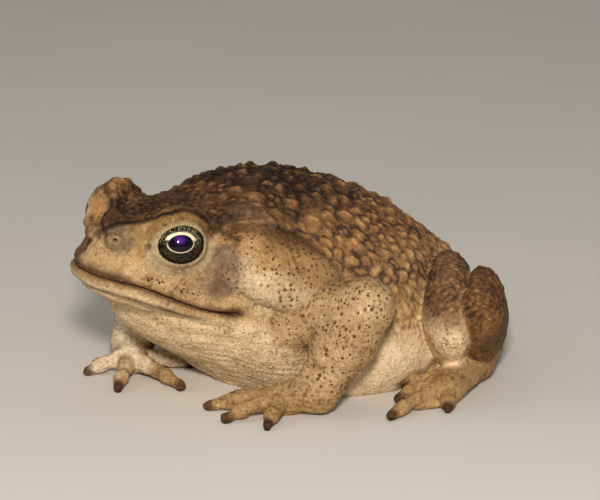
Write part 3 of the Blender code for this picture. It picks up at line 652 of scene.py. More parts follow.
@dataclass(frozen=True)
class HindLeg:
    """One folded hind leg, from the hip to five webbed toes."""

    side: Side
    hip: Point = (16.0, 43.0, 15.0)
    knee: Point = (47.0, 21.5, 18.0)
    outer_knee: Point = (50.0, 26.0, 20.0)
    heel: Point = (20.5, 53.0, 7.0)
    tarsus: Point = (39.0, 33.5, 5.4)
    web: Point = (50.0, 17.5, 3.0)
    tips: tuple[Point, ...] = ((35.5, 22.0, 1.15), (38.5, 14.0, 1.15), (44.0, 7.5, 1.15), (54.0, -2.0, 1.15),
                               (57.0, 12.5, 1.15))
    thigh_half: Point = (7.4, 25.0, 13.8)
    shank_half: Point = (6.5, 21.0, 12.8)
    roots: tuple[float, ...] = (0.3, 0.45, 0.62, 0.78, 0.9)
    shares: tuple[float, ...] = (0.0, 0.35, 0.6, 0.8, 1.0)
    radii: tuple[float, ...] = (2.6, 1.75, 1.45, 1.55, 1.15)
    thigh_radii: tuple[float, float] = (7.6, 6.0)
    shank_radii: tuple[float, float] = (6.6, 4.4)
    sole_radii: tuple[float, ...] = (5.0, 5.4, 4.0)
    calf: float = 0.42
    fold: float = 0.9
    web_shares: tuple[float, float] = (0.1, 0.62)
    web_rods: int = 14
    web_height: float = 1.3
    web_half: float = 0.6

    def at(self, name: str) -> Array:
        """Return one of the joints on this side."""
        return np.array(self.side.mirror(getattr(self, name)))

    def thigh_field(self, space: Samples) -> Array:
        """Return the field of the thigh."""
        middle = (self.at("hip") + self.at("knee")) / 2
        turn = axes_along(self.at("knee") - self.at("hip"), self.side.mirror((0.57, 0.82, 0.0)))
        clay = Clay.empty(space)
        clay.add(Egg(middle, self.thigh_half, turn), 3.0)
        clay.add(Rod(middle, self.at("knee"), *self.thigh_radii), 3.0)
        return clay.field

    def shank_field(self, space: Samples) -> Array:
        """Return the field of the shank."""
        knee, heel = self.at("outer_knee"), self.at("heel")
        turn = axes_along(heel - knee, self.side.mirror((0.7, 0.7, 0.0)))
        clay = Clay.empty(space)
        clay.add(Egg(knee + self.calf * (heel - knee), self.shank_half, turn), 3.0)
        clay.add(Rod(knee, heel, *self.shank_radii), 3.0)
        return clay.field

    def foot_field(self, space: Samples) -> Array:
        """Return the field of the foot, with its toes and webs.

        Args:
            space: Places to measure at.

        Returns:
            The field.
        """
        clay = Clay.empty(space)
        tarsus, web = self.at("tarsus"), self.at("web")
        clay.chain((self.at("heel"), tarsus, web), self.sole_radii, 3.0)
        toes = [(tarsus + share * (web - tarsus), np.array(self.side.mirror(tip)))
                for share, tip in zip(self.roots, self.tips)]
        for root, tip in toes:
            clay.chain(digit(root, tip, self.shares), self.radii, 1.2)
        for first, second in zip(toes[:-1], toes[1:]):
            for share in np.linspace(*self.web_shares, self.web_rods):
                ends = [root + share * (tip - root) for root, tip in (first, second)]
                ends = [np.array((end[0], end[1], self.web_height)) for end in ends]
                clay.add(Rod(*ends, self.web_half, self.web_half), 1.0)
        return clay.field

    def field(self, space: Samples) -> Array:
        """Return the field of the whole hind leg."""
        thigh, shank = self.thigh_field(space), self.shank_field(space)
        upper = melt(thigh, shank, 1.0) + self.fold * bump(thigh, shank, 1.1)
        return melt(upper, self.foot_field(space), 1.0)


@dataclass
class Warts:
    """Warts packed side by side, each with its own length, width, height and tone."""

    points: Array
    outward: Array
    along: Array
    length: Array
    width: Array
    rise: Array
    tone: Array

    def distance(self, index: int, deltas: Sequence[Array]) -> Array:
        """Measure places against one wart.

        Args:
            index: Number of the wart.
            deltas: Places from its middle, by coordinate.

        Returns:
            The distance from its middle, 1 on its own outline.
        """
        cross = np.cross(self.outward[index], self.along[index])
        measures = []
        for axis, half in ((self.along[index], self.length[index]), (cross, self.width[index]),
                           (self.outward[index], 1.6 * self.width[index])):
            measures.append(sum(deltas[i] * axis[i] for i in range(3)) / half)
        return np.sqrt(sum(measure ** 2 for measure in measures))

    @staticmethod
    def bent(x: Array, y: Array, z: Array) -> list[Array]:
        """Return places shifted a little to and fro, so that outlines waver."""
        return [x + 0.5 * np.sin(1.45 * y + 0.3) * np.sin(1.3 * z + 1.2),
                y + 0.5 * np.sin(1.51 * z + 2.0) * np.sin(1.37 * x + 0.5),
                z + 0.5 * np.sin(1.39 * x + 1.1) * np.sin(1.48 * y + 2.3)]

    def settle(self, space: Block) -> "WartField":
        """Find the two nearest warts of every sample.

        Args:
            space: The block to work in.

        Returns:
            The measures that the skin and its colours are made from.
        """
        first, second = space.blank(UNREACHED), space.blank(UNREACHED)
        rise, tone = space.blank(0.0), space.blank(0.5)
        places = self.bent(space.x, space.y, space.z)
        middles = np.stack(self.bent(*self.points.T), axis=1)
        for i in range(len(self.points)):
            cut = space.window(self.points[i], WART_REACH * self.length[i])[0]
            deltas = [places[axis][cut] - middles[i, axis] for axis in range(3)]
            away = self.distance(i, deltas).astype(np.float32)
            closer = away < first[cut]
            second[cut] = np.where(closer, first[cut], np.minimum(second[cut], away))
            first[cut] = np.where(closer, away, first[cut])
            rise[cut] = np.where(closer, self.rise[i], rise[cut])
            tone[cut] = np.where(closer, self.tone[i], tone[cut])
        return WartField(first, second, rise, tone)


@dataclass
class WartField:
    """The nearest wart of every sample: distances to it and to the next, its height and tone."""

    first: Array
    second: Array
    rise: Array
    tone: Array

    @property
    def crease(self) -> Array:
        """Return 1 in the line between two warts and 0 on top of one."""
        return np.clip(self.first / np.maximum(self.second, 1e-3), 0.0, 1.0)

    @property
    def present(self) -> Array:
        """Return 1 where warts cover the skin and 0 past the last of them."""
        return fade(self.first, 1.1, 1.8)

    @property
    def dome(self) -> Array:
        """Return 1 on the middle of a wart and 0 from its own outline on."""
        return fade(self.first, 0.1, 1.0)

    @property
    def height(self) -> Array:
        """Return how far the warts raise the skin."""
        return self.rise * (0.6 * self.dome + 0.4 * (1.0 - self.crease ** 2)) * self.present


@dataclass(frozen=True)
class WartMaker:
    """Throws warts over the back, the flanks, the brows and the hind legs."""

    seed: int = 11
    packing: float = 1.7
    half_width: tuple[float, float] = (0.72, 1.3)
    large_share: float = 0.02
    large_width: float = 1.45
    downward: Point = (0.0, 0.5, -0.87)
    waver: float = 0.16

    def throw(self, points: Array, outward: Array, size: Array, across_leg: Array) -> Warts:
        """Choose warts that keep their distance from one another.

        Args:
            points: Places on the skin that a wart may take.
            outward: Outward directions there.
            size: Size of the warts there against the usual one, 0 for none.
            across_leg: 1 where they lie across a leg, 0 where they run down the flank.

        Returns:
            The warts.
        """
        draw = np.random.default_rng(self.seed)
        order = draw.permutation(np.flatnonzero(size > 0.05))
        large = (draw.random(len(order)) < self.large_share) & (outward[order, 2] > 0.1) & (size[order] > 0.9)
        order = order[np.argsort(~large, kind="stable")]
        large = np.sort(~large) == 0
        points, outward, size = points[order], outward[order], size[order]
        flow = np.array(self.downward) + draw.normal(0.0, self.waver, (len(points), 3))
        level = np.cross((0.0, 0.0, 1.0), outward)
        flow = np.where((across_leg[order] > 0.5)[:, None], level, flow)
        along = flow - outward * np.sum(flow * outward, axis=1)[:, None]
        along /= np.maximum(np.linalg.norm(along, axis=1), 1e-6)[:, None]
        width = draw.uniform(*self.half_width, len(points)) * size
        width = np.where(large, self.large_width * size * draw.uniform(0.9, 1.25, len(points)), width)
        length = width * (1.25 + 1.0 * fade(np.abs(outward[:, 2]), 0.4, 0.9) * ~large)
        rise = width * draw.uniform(0.38, 0.72, len(points)) * np.where(large, 1.2, 1.0)
        tone = draw.random(len(points)) * np.where(large, 0.4, 0.85) + np.where(large, 0.6, 0.0)
        warts = Warts(points, outward, along, length, width, rise, tone)
        alive = np.ones(len(points), dtype=bool)
        kept = []
        for i in range(len(points)):
            if not alive[i]:
                continue
            kept.append(i)
            near = np.flatnonzero(alive & (np.abs(points[:, 2] - points[i, 2]) < 2.4 * length[i]))
            away = warts.distance(i, list((points[near] - points[i]).T))
            alive[near[away < self.packing]] = False
        return Warts(*(values[kept] for values in (warts.points, warts.outward, warts.along, warts.length,
                                                   warts.width, warts.rise, warts.tone)))


# The six tetrahedra that fill a cube of samples, each as an order of the three axes
CUBE_PATHS = ((0, 1, 2), (0, 2, 1), (1, 0, 2), (1, 2, 0), (2, 0, 1), (2, 1, 0))


@dataclass
class Mould:
    """Turns the zero level of a field into points and outward triangles."""

    space: Block
    field: Array

    def tetrahedra(self, inside: Array) -> Array:
        """Find the tetrahedra that the surface passes through.

        Args:
            inside: Whether each sample is inside.

        Returns:
            Four sample numbers for each tetrahedron.
        """
        nx, ny, nz = inside.shape
        strides = (ny * nz, nz, 1)
        count = np.zeros((nx - 1, ny - 1, nz - 1), dtype=np.uint8)
        for i, j, k in np.ndindex(2, 2, 2):
            count += inside[i:nx - 1 + i, j:ny - 1 + j, k:nz - 1 + k]
        base = np.argwhere((count > 0) & (count < 8)) @ np.array(strides)
        blocks = []
        for path in CUBE_PATHS:
            first = base + strides[path[0]]
            second = first + strides[path[1]]
            blocks.append(np.stack([base, first, second, second + strides[path[2]]], axis=1))
        return np.concatenate(blocks)

    def edges(self, inside: Array) -> Array:
        """Find the three edges that each triangle cuts, inner end first.

        Args:
            inside: Whether each sample is inside.

        Returns:
            Pairs of sample numbers, three for each triangle.
        """
        solid = self.tetrahedra(inside)
        flags = inside.ravel()[solid]
        solid = np.take_along_axis(solid, np.argsort(~flags, axis=1, kind="stable"), axis=1)
        count = flags.sum(axis=1)
        cases = ((1, ((0, 1), (0, 2), (0, 3))), (3, ((0, 3), (1, 3), (2, 3))),
                 (2, ((0, 2), (0, 3), (1, 3))), (2, ((0, 2), (1, 3), (1, 2))))
        return np.concatenate([np.stack([solid[count == number][:, pair] for pair in pairs], axis=1)
                               for number, pairs in cases])

    def cast(self) -> tuple[Array, Array]:
        """Make the surface.

        Returns:
            Its points, and its triangles as rows of point numbers.
        """
        values = self.field.ravel()
        edges = self.edges(self.field < 0.0)
        keys, faces = np.unique((edges.min(axis=2) * values.size + edges.max(axis=2)).ravel(),
                                return_inverse=True)
        faces = faces.reshape(-1, 3)
        low, high = keys // values.size, keys % values.size
        share = np.clip(values[low] / (values[low] - values[high]), 0.05, 0.95)[:, None]
        ny, nz = self.field.shape[1:]

        def place(number: Array) -> Array:
            """Return the three grid numbers of samples."""
            return np.stack([number // (ny * nz), number // nz % ny, number % nz], axis=-1)

        points = (place(low) * (1.0 - share) + place(high) * share) * self.space.step + self.space.low
        outward = (place(edges[:, :, 1]) - place(edges[:, :, 0])).sum(axis=1)
        a, b, c = (points[faces[:, i]] for i in range(3))
        facing = np.einsum("ij,ij->i", np.cross(b - a, c - a), outward.astype(float))
        faces[facing < 0] = faces[facing < 0][:, ::-1]
        return self.largest(points, faces)

    @staticmethod
    def largest(points: Array, faces: Array) -> tuple[Array, Array]:
        """Keep only the largest closed surface.

        Args:
            points: All points.
            faces: All triangles.

        Returns:
            The points and triangles that are kept.
        """
        label = np.arange(len(points))
        settled = False
        while not settled:
            before = label.copy()
            lowest = label[faces].min(axis=1)
            for i in range(3):
                np.minimum.at(label, faces[:, i], lowest)
            label = label[label]
            settled = np.array_equal(before, label)
        kinds, counts = np.unique(label[faces[:, 0]], return_counts=True)
        faces = faces[label[faces[:, 0]] == kinds[counts.argmax()]]
        used, faces = np.unique(faces.ravel(), return_inverse=True)
        return points[used], faces.reshape(-1, 3)


def make_mesh(name: str, points: Array, faces: Array) -> bpy.types.Mesh:
    """Make a mesh from arrays.

    Args:
        name: Name of the mesh.
        points: Places as rows.
        faces: Rows of point numbers, all of one length.

    Returns:
        The mesh.
    """
    mesh = bpy.data.meshes.new(name)
    size = faces.shape[1]
    mesh.vertices.add(len(points))
    mesh.vertices.foreach_set("co", points.astype(np.float32).ravel())
    mesh.loops.add(faces.size)
    mesh.loops.foreach_set("vertex_index", faces.astype(np.int32).ravel())
    mesh.polygons.add(len(faces))
    mesh.polygons.foreach_set("loop_start", np.arange(0, faces.size, size, dtype=np.int32))
    mesh.update(calc_edges=True)
    return mesh


def put(name: str, data: Any) -> bpy.types.Object:
    """Set a mesh, a lamp or a camera in the scene."""
    made = bpy.data.objects.new(name, data)
    bpy.context.scene.collection.objects.link(made)
    return made


def evaluated_mesh(carrier: bpy.types.Object) -> bpy.types.Mesh:
    """Return a plain mesh of what an object's modifiers make, and remove the object."""
    depsgraph = bpy.context.evaluated_depsgraph_get()
    mesh = bpy.data.meshes.new_from_object(carrier.evaluated_get(depsgraph), depsgraph=depsgraph)
    carrier.modifiers.clear()
    bpy.data.objects.remove(carrier)
    return mesh


def read_vectors(items: Any, name: str) -> Array:
    """Return a vector property of all items as rows."""
    values = np.empty(len(items) * 3, dtype=np.float32)
    items.foreach_get(name, values)
    return values.reshape(-1, 3)


def write_attribute(mesh: bpy.types.Mesh, name: str, values: Array) -> None:
    """Store a number or a colour on every point of a mesh.

    Args:
        mesh: The mesh.
        name: Name of the attribute.
        values: One number, or one row of three, for every point.
    """
    if values.ndim == 1:
        mesh.attributes.new(name, "FLOAT", "POINT").data.foreach_set("value", values.astype(np.float32))
    else:
        mesh.attributes.new(name, "FLOAT_VECTOR", "POINT").data.foreach_set(
            "vector", values.astype(np.float32).ravel())


def linear(red: int, green: int, blue: int) -> Point:
    """Return the linear colour of a screen colour."""
    return tuple((value / 255.0 / 12.92) if value < 11 else ((value / 255.0 + 0.055) / 1.055) ** 2.4
                 for value in (red, green, blue))


@dataclass(frozen=True)
class Tones:
    """The dark, middle and light tone of one stretch of skin, as screen colours."""

    dark: tuple[int, int, int]
    middle: tuple[int, int, int]
    light: tuple[int, int, int]

    def rows(self) -> Array:
        """Return the three tones as linear colours."""
        return np.array([linear(*tone) for tone in (self.dark, self.middle, self.light)])


class Stretch(Enum):
    """Stretches of skin that differ in tone."""

    BELLY = Tones((186, 156, 114), (222, 196, 158), (240, 218, 186))
    FLANK_LOW = Tones((118, 86, 56), (182, 143, 96), (222, 186, 138))
    FLANK_HIGH = Tones((78, 57, 44), (148, 110, 70), (194, 152, 98))
    BACK_SIDE = Tones((64, 47, 37), (136, 96, 58), (186, 140, 88))
    BACK_TOP = Tones((30, 20, 14), (66, 45, 26), (132, 90, 54))
    CROWN = Tones((44, 28, 15), (94, 64, 38), (142, 104, 70))
    CREST = Tones((20, 11, 5), (38, 22, 11), (72, 47, 27))
    SHOULDER = Tones((50, 34, 24), (90, 68, 52), (146, 122, 98))
    BROW = Tones((86, 58, 26), (150, 114, 68), (178, 140, 92))
    # A lighter copy of the brow tones for the far side, painted light.
    FAR_BROW = Tones((96, 64, 32), (164, 122, 76), (196, 156, 104))
    NOSE = Tones((88, 74, 54), (132, 112, 84), (162, 142, 110))
    CHEEK = Tones((122, 90, 56), (180, 146, 102), (214, 186, 144))
    LIP = Tones((80, 52, 24), (128, 94, 58), (176, 144, 104))
    MOUTH = Tones((34, 18, 8), (62, 36, 17), (88, 56, 30))
    THROAT = Tones((160, 130, 88), (208, 180, 140), (234, 210, 172))
    COLLAR = Tones((150, 124, 92), (196, 172, 138), (226, 206, 176))
    EAR = Tones((84, 64, 50), (122, 98, 76), (158, 140, 114))
    LID = Tones((126, 106, 76), (168, 146, 112), (190, 172, 138))
    # Painted shade for the groove that borders the gland above and behind.
    GLAND_EDGE = Tones((40, 24, 12), (66, 44, 26), (98, 70, 46))
    GLAND_HIGH = Tones((70, 46, 25), (118, 84, 50), (156, 118, 76))
    GLAND = Tones((130, 92, 50), (178, 138, 90), (204, 166, 116))
    GLAND_LOW = Tones((156, 124, 84), (204, 176, 136), (226, 202, 166))
    ARM = Tones((116, 82, 48), (174, 141, 100), (216, 188, 148))
    # A much paler copy of the arm tones, painted light on the camera side of the far arm.
    PALE_ARM = Tones((200, 172, 134), (244, 226, 194), (250, 238, 216))
    HAND = Tones((104, 74, 40), (166, 130, 84), (217, 186, 141))
    THIGH_LOW = Tones((176, 142, 98), (226, 196, 154), (240, 216, 178))
    THIGH = Tones((70, 50, 36), (130, 95, 62), (180, 142, 96))
    SHANK = Tones((58, 36, 18), (116, 80, 46), (164, 124, 80))
    FOOT = Tones((112, 82, 46), (168, 132, 86), (196, 164, 120))
    # Painted shade for the far side of the snout.
    RIM = Tones((52, 30, 12), (102, 68, 34), (142, 102, 58))
    TIP = Tones((34, 20, 11), (66, 39, 21), (98, 64, 38))


@dataclass
class Palette:
    """Lays the tones of the skin over its points, stretch by stretch."""

    tones: Array

    @classmethod
    def over(cls, count: int, stretch: Stretch) -> "Palette":
        """Return a palette that begins with one stretch everywhere."""
        return cls(np.repeat(stretch.value.rows()[:, None, :], count, axis=1))

    def lay(self, stretch: Stretch, share: Array, strength: float = 1.0) -> None:
        """Lay one stretch over the points.

        Args:
            stretch: The stretch of skin.
            share: How fully it covers each point, from 0 to 1.
            strength: How fully it covers where the share is 1.
        """
        weight = (np.clip(share, 0.0, 1.0) * strength)[None, :, None]
        self.tones = self.tones * (1.0 - weight) + stretch.value.rows()[:, None, :] * weight


def feed(node: bpy.types.Node, inputs: dict[Any, Any]) -> None:
    """Set or link inputs of a node.

    Args:
        node: The node.
        inputs: Values, sockets or wrapped sockets, by the input's name or number.
    """
    for name, value in inputs.items():
        given = value.socket if isinstance(value, Value) else value
        if isinstance(given, bpy.types.NodeSocket):
            node.id_data.links.new(given, node.inputs[name])
        else:
            node.inputs[name].default_value = given


def add_node(tree: bpy.types.NodeTree, kind: str, settings: dict[str, Any],
             inputs: dict[Any, Any]) -> bpy.types.Node:
    """Add any node.

    Args:
        tree: Where it goes.
        kind: Type of the node.
        settings: Its own settings, set first.
        inputs: Values or links of its sockets, by name or number.

    Returns:
        The node.
    """
    node = tree.nodes.new(kind)
    for name, value in settings.items():
        setattr(node, name, value)
    feed(node, inputs)
    return node


class Value:
    """A number given by a node, with operators that add Math nodes."""

    def __init__(self, tree: bpy.types.NodeTree, socket: bpy.types.NodeSocket) -> None:
        """Wrap an output socket of a tree."""
        self.tree = tree
        self.socket = socket

    def math(self, operation: str, *others: "Value | float", swap: bool = False) -> "Value":
        """Add a Math node.

        Args:
            operation: What the node does.
            others: The other terms.
            swap: Whether this value comes second.

        Returns:
            The result.
        """
        terms = [*others, self] if swap else [self, *others]
        node = add_node(self.tree, "ShaderNodeMath", {"operation": operation}, dict(enumerate(terms)))
        return Value(self.tree, node.outputs[0])

    def __add__(self, other: "Value | float") -> "Value":
        """Return the sum."""
        return self.math("ADD", other)

    __radd__ = __add__

    def __sub__(self, other: "Value | float") -> "Value":
        """Return the difference."""
        return self.math("SUBTRACT", other)

    def __rsub__(self, other: "Value | float") -> "Value":
        """Return the difference from another."""
        return self.math("SUBTRACT", other, swap=True)

    def __mul__(self, other: "Value | float") -> "Value":
        """Return the product."""
        return self.math("MULTIPLY", other)

    __rmul__ = __mul__

    def __truediv__(self, other: "Value | float") -> "Value":
        """Return the quotient."""
        return self.math("DIVIDE", other)

    def __pow__(self, other: "Value | float") -> "Value":
        """Return the power."""
        return self.math("POWER", other)

    def most(self, other: "Value | float") -> "Value":
        """Return the greater of two."""
        return self.math("MAXIMUM", other)

    def least(self, other: "Value | float") -> "Value":
        """Return the lesser of two."""
        return self.math("MINIMUM", other)

    def root(self) -> "Value":
        """Return the square root."""
        return self.math("SQRT")

    def step(self, low: float, high: float) -> "Value":
        """Return a smooth step from 0 at low to 1 at high."""
        node = add_node(self.tree, "ShaderNodeMapRange", {"interpolation_type": "SMOOTHSTEP"},
                        {"From Min": low, "From Max": high, "Value": self})
        return Value(self.tree, node.outputs["Result"])


class Recipe:
    """The node tree of one finish."""

    def __init__(self, name: str) -> None:
        """Begin with a Principled shader alone."""
        self.material = bpy.data.materials.new(name)
        self.material.use_nodes = True
        self.tree = self.material.node_tree
        self.shader = self.tree.nodes["Principled BSDF"]

    def node(self, kind: str, settings: dict[str, Any] | None = None, inputs: dict[Any, Any] | None = None,
             output: int | str = 0) -> Value:
        """Add any node and return one of its outputs, by name or number."""
        node = add_node(self.tree, kind, settings or {}, inputs or {})
        return Value(self.tree, node.outputs[output])

    def attribute(self, name: str, output: str = "Fac") -> Value:
        """Return an attribute of the mesh."""
        return self.node("ShaderNodeAttribute", {"attribute_name": name}, output=output)

    def place(self) -> Value:
        """Return the place on the piece, in metres."""
        return self.node("ShaderNodeTexCoord", output="Object")

    def mix(self, share: Value | float, first: Any, second: Any) -> Value:
        """Return a mix of two colours, given a share of the second."""
        return self.node("ShaderNodeMix", {"data_type": "RGBA"},
                         {0: share, 6: self.solid(first), 7: self.solid(second)}, 2)

    @staticmethod
    def solid(colour: Any) -> Any:
        """Return a colour with its fourth part, or the output as it is."""
        return colour if isinstance(colour, Value) else (*colour, 1.0)

    def noise(self, place: Value, size: float, detail: float = 2.0, rough: float = 0.55) -> Value:
        """Return noise whose features are of a size in millimetres."""
        return self.node("ShaderNodeTexNoise", {}, {"Vector": place, "Scale": 1000.0 / size, "Detail": detail,
                                                    "Roughness": rough})

    def cells(self, place: Value, size: float, feature: str = "F1", output: str = "Distance",
              blur: float = 0.0) -> Value:
        """Return a pattern of cells of a size in millimetres.

        Args:
            place: Where the pattern is read.
            size: Size of one cell.
            feature: Which distance is given.
            output: The distance as a share of a cell, or the cell's own colour.
            blur: Softness, for the smooth kind.

        Returns:
            The output asked for.
        """
        inputs: dict[Any, Any] = {"Vector": place, "Scale": 1000.0 / size, "Randomness": 0.8}
        if feature == "SMOOTH_F1":
            inputs["Smoothness"] = blur
        return self.node("ShaderNodeTexVoronoi", {"feature": feature}, inputs, output)

    def finish(self, colour: Value, roughness: Value | float, height: Value | None, depth: float,
               constants: dict[str, float]) -> bpy.types.Material:
        """Feed the shader.

        Args:
            colour: Base colour.
            roughness: Roughness.
            height: Height of the bumps, from 0 to 1, or None.
            depth: Height in metres where that is 1.
            constants: Other sockets of the shader, the same all over.

        Returns:
            The material.
        """
        feed(self.shader, {"Base Color": colour, "Roughness": roughness, **constants})
        if height is not None:
            bumps = {"Strength": 1.0, "Distance": depth, "Height": height}
            feed(self.shader, {"Normal": self.node("ShaderNodeBump", {}, bumps, "Normal")})
        return self.material


@dataclass(frozen=True)
class SkinFinish:
    """Matt, faintly moist toad skin: three tones, dots, wrinkles and fine grain. Its tones carry painted
    shade in the creases between warts and in wrinkle folds, and painted highlight on wart tops over their own
    paler colour.
    """

    grain: float = 0.42
    pebble: float = 0.95
    wrinkle: float = 1.25
    dot_spacing: float = 1.22
    speck_spacing: float = 0.85
    dot_size: tuple[float, float] = (0.16, 0.25)
    speck_size: tuple[float, float] = (0.1, 0.26)
    dot_edge: tuple[float, float] = (-0.08, 0.14)
    fold_width: float = 0.13
    # Where shade painted into the creases between warts begins and where it is full.
    furrow_step: tuple[float, float] = (0.5, 1.15)
    low_step: tuple[float, float] = (-0.1, 0.55)
    high_step: tuple[float, float] = (0.5, 1.1)
    roughness: float = 0.7
    depth: float = 0.00048
    waver: float = 0.0005
    waver_scale: float = 1300.0
    dot_colour: tuple[int, int, int] = (76, 46, 20)

    def bent(self, recipe: Recipe, place: Value) -> Value:
        """Return places shifted to and fro, so that outlines waver.

        Args:
            recipe: The finish in the making.
            place: The places.

        Returns:
            The shifted places.
        """
        shift = recipe.node("ShaderNodeTexNoise", {},
                            {"Vector": place, "Scale": self.waver_scale, "Detail": 2.0}, "Color")
        shift = recipe.node("ShaderNodeVectorMath", {"operation": "SCALE"}, {0: shift, "Scale": self.waver})
        return recipe.node("ShaderNodeVectorMath", {"operation": "ADD"}, {0: place, 1: shift})

    def dots(self, recipe: Recipe, place: Value, spacing: float, smallest: float, spread: float) -> Value:
        """Scatter soft dots of many sizes.

        Args:
            recipe: The finish in the making.
            place: Where the pattern is read.
            spacing: Distance between dots, in millimetres.
            smallest: Radius of the smallest as a share of that.
            spread: How much larger the largest are.

        Returns:
            1 in a dot and 0 outside.
        """
        away = recipe.cells(place, spacing)
        draw = recipe.cells(place, spacing, output="Color")
        return 1.0 - (away - smallest - spread * draw * draw).step(*self.dot_edge)

    def made(self) -> bpy.types.Material:
        """Build the finish.

        Returns:
            The material of the skin.
        """
        recipe = Recipe("toad_skin")
        place = recipe.place()
        bent = self.bent(recipe, place)
        broad = recipe.noise(place, 6.0, 2.0)
        fine = recipe.noise(place, 1.3, 3.0, 0.62)
        grit = recipe.noise(place, 0.4, 2.0, 0.6)
        crease, tone, line = (recipe.attribute(name) for name in ("crease", "tone", "line"))
        folds = 1.0 - recipe.cells(bent, self.wrinkle, "DISTANCE_TO_EDGE").step(0.0, self.fold_width)
        # The tones follow the relief: the dark tone is painted into the creases between warts and into
        # wrinkle folds as shade, and the light tone onto wart tops as highlight over their own paler colour,
        # besides random mottling.
        relief = 0.3 + 0.5 * (tone - 0.5) + 1.3 * (fine - 0.5) + 1.2 * (broad - 0.5) + 0.4 * (grit - 0.5)
        crease_shade = (crease + 0.5 * (fine - 0.5)).step(*self.furrow_step) * line
        relief = relief + recipe.attribute("top") * 0.62 - crease_shade * 0.7 - 0.14 * folds
        low, high = relief.step(*self.low_step), relief.step(*self.high_step)
        dark, middle, light = (recipe.attribute(name, "Color") for name in TONE_NAMES)
        colour = recipe.mix(high, recipe.mix(low, dark, middle), light)
        dots = self.dots(recipe, bent, self.dot_spacing, *self.dot_size) * recipe.attribute("dots")
        specks = self.dots(recipe, bent, self.speck_spacing, *self.speck_size) * recipe.attribute("specks")
        colour = recipe.mix(dots.most(specks) * (0.5 + 0.75 * fine), colour, linear(*self.dot_colour))
        pebbles = recipe.cells(place, self.pebble, "SMOOTH_F1", blur=0.25)
        grains = recipe.cells(place, self.grain)
        height = (1.0 - pebbles) * 0.25 * recipe.attribute("pebbled") + (1.0 - grains) * 0.08 + fine * 0.3
        height = height + grit * 0.12 + dots * 0.12 - folds * 0.16
        rough = self.roughness + 0.3 * (fine - 0.5) + 0.1 * crease
        return recipe.finish(colour, rough, height, self.depth, {
            "Subsurface Weight": 0.04, "Subsurface Scale": 0.002, "Specular IOR Level": 0.22, "IOR": 1.4})


@dataclass(frozen=True)
class EyeFinish:
    """A wet eye: a black iris netted with gold round a level oval pupil, with a violet flash reflection
    painted into the pupil.
    """

    pupil: tuple[float, float] = (2.95, 2.05)
    look: tuple[float, float] = (-0.5, 0.45)
    iris: float = 5.5
    net_scale: float = 2.6
    fleck_scale: float = 3.4
    gold: tuple[Point, Point] = (linear(116, 104, 62), linear(206, 196, 150))
    black: Point = linear(13, 10, 6)
    cream: Point = linear(236, 222, 190)
    pink: Point = linear(222, 198, 172)
    rim: Point = linear(26, 18, 12)
    # Pupil tones: near black, and the violet of a painted flash reflection.
    violet: tuple[Point, Point] = (linear(12, 6, 18), linear(88, 32, 138))

    def made(self) -> bpy.types.Material:
        """Build the finish.

        Returns:
            The material of the eyes.
        """
        recipe = Recipe("toad_eye")
        local = recipe.attribute("eye_place", "Vector")
        wide, tall = (recipe.node("ShaderNodeSeparateXYZ", {}, {0: local}, axis) - middle
                      for axis, middle in zip("XY", self.look))
        oval = ((wide / self.pupil[0]) ** 2.0 + (tall / self.pupil[1]) ** 2.0).root()
        round_off = (wide * wide + tall * tall).root()
        net = recipe.node("ShaderNodeTexNoise", {}, {"Vector": local, "Scale": self.net_scale, "Detail": 3.0,
                                                      "Roughness": 0.6, "Distortion": 0.8})
        flecks = recipe.node("ShaderNodeTexVoronoi", {"feature": "F1"},
                             {"Vector": local, "Scale": self.fleck_scale}, "Distance")
        flecks = (1.0 - flecks.step(0.2, 0.55)) * net.step(0.36, 0.56)
        above = (tall + 0.15 * wide).step(-1.2, 1.4)
        gold = recipe.mix(above, *self.gold)
        band = round_off.step(2.3, 3.3) * (0.6 + 0.4 * above)
        colour = recipe.mix(flecks * band, self.black, gold)
        crescent = (tall + 0.1 * wide).step(0.35, 1.0) * (1.0 - (oval + 0.3 * (net - 0.5)).step(1.24, 1.36))
        colour = recipe.mix(crescent * (0.75 + 0.5 * net).least(1.0), colour, self.cream)
        ring = oval.step(1.0, 1.03) * (1.0 - oval.step(1.1, 1.15)) * (0.0 - tall).step(-0.9, 0.9)
        colour = recipe.mix(ring * 0.85, colour, self.pink)
        outer = round_off.step(self.iris - 0.5, self.iris + 0.2)
        colour = recipe.mix(outer, colour, self.rim)
        # A violet reflection of the flash is painted into the upper pupil.
        reflection_spot = 1.0 - ((wide + 0.25) * (wide + 0.25) * 0.7 + (tall - 0.8) * (tall - 0.8)).root().step(0.1, 1.5)
        reflected_pupil = recipe.mix(reflection_spot, *self.violet)
        colour = recipe.mix(1.0 - oval.step(0.96, 1.0), colour, reflected_pupil)
        return recipe.finish(colour, 0.25, None, 0.0, {
            "Coat Weight": 1.0, "Coat Roughness": 0.06, "Coat IOR": 1.33, "Specular IOR Level": 0.0,
            "IOR": 1.33})


@dataclass(frozen=True)
class FloorFinish:
    """Pale, plain and matt."""

    colour: tuple[int, int, int] = (214, 208, 198)

    def made(self) -> bpy.types.Material:
        """Build the finish.

        Returns:
            The material of the floor.
        """
        recipe = Recipe("studio_floor")
        place = recipe.place()
        light = recipe.noise(place, 90.0, 1.0)
        colour = recipe.mix(light, linear(*self.colour), linear(*(value + 8 for value in self.colour)))
        return recipe.finish(colour, 0.85, None, 0.0, {"Specular IOR Level": 0.2})


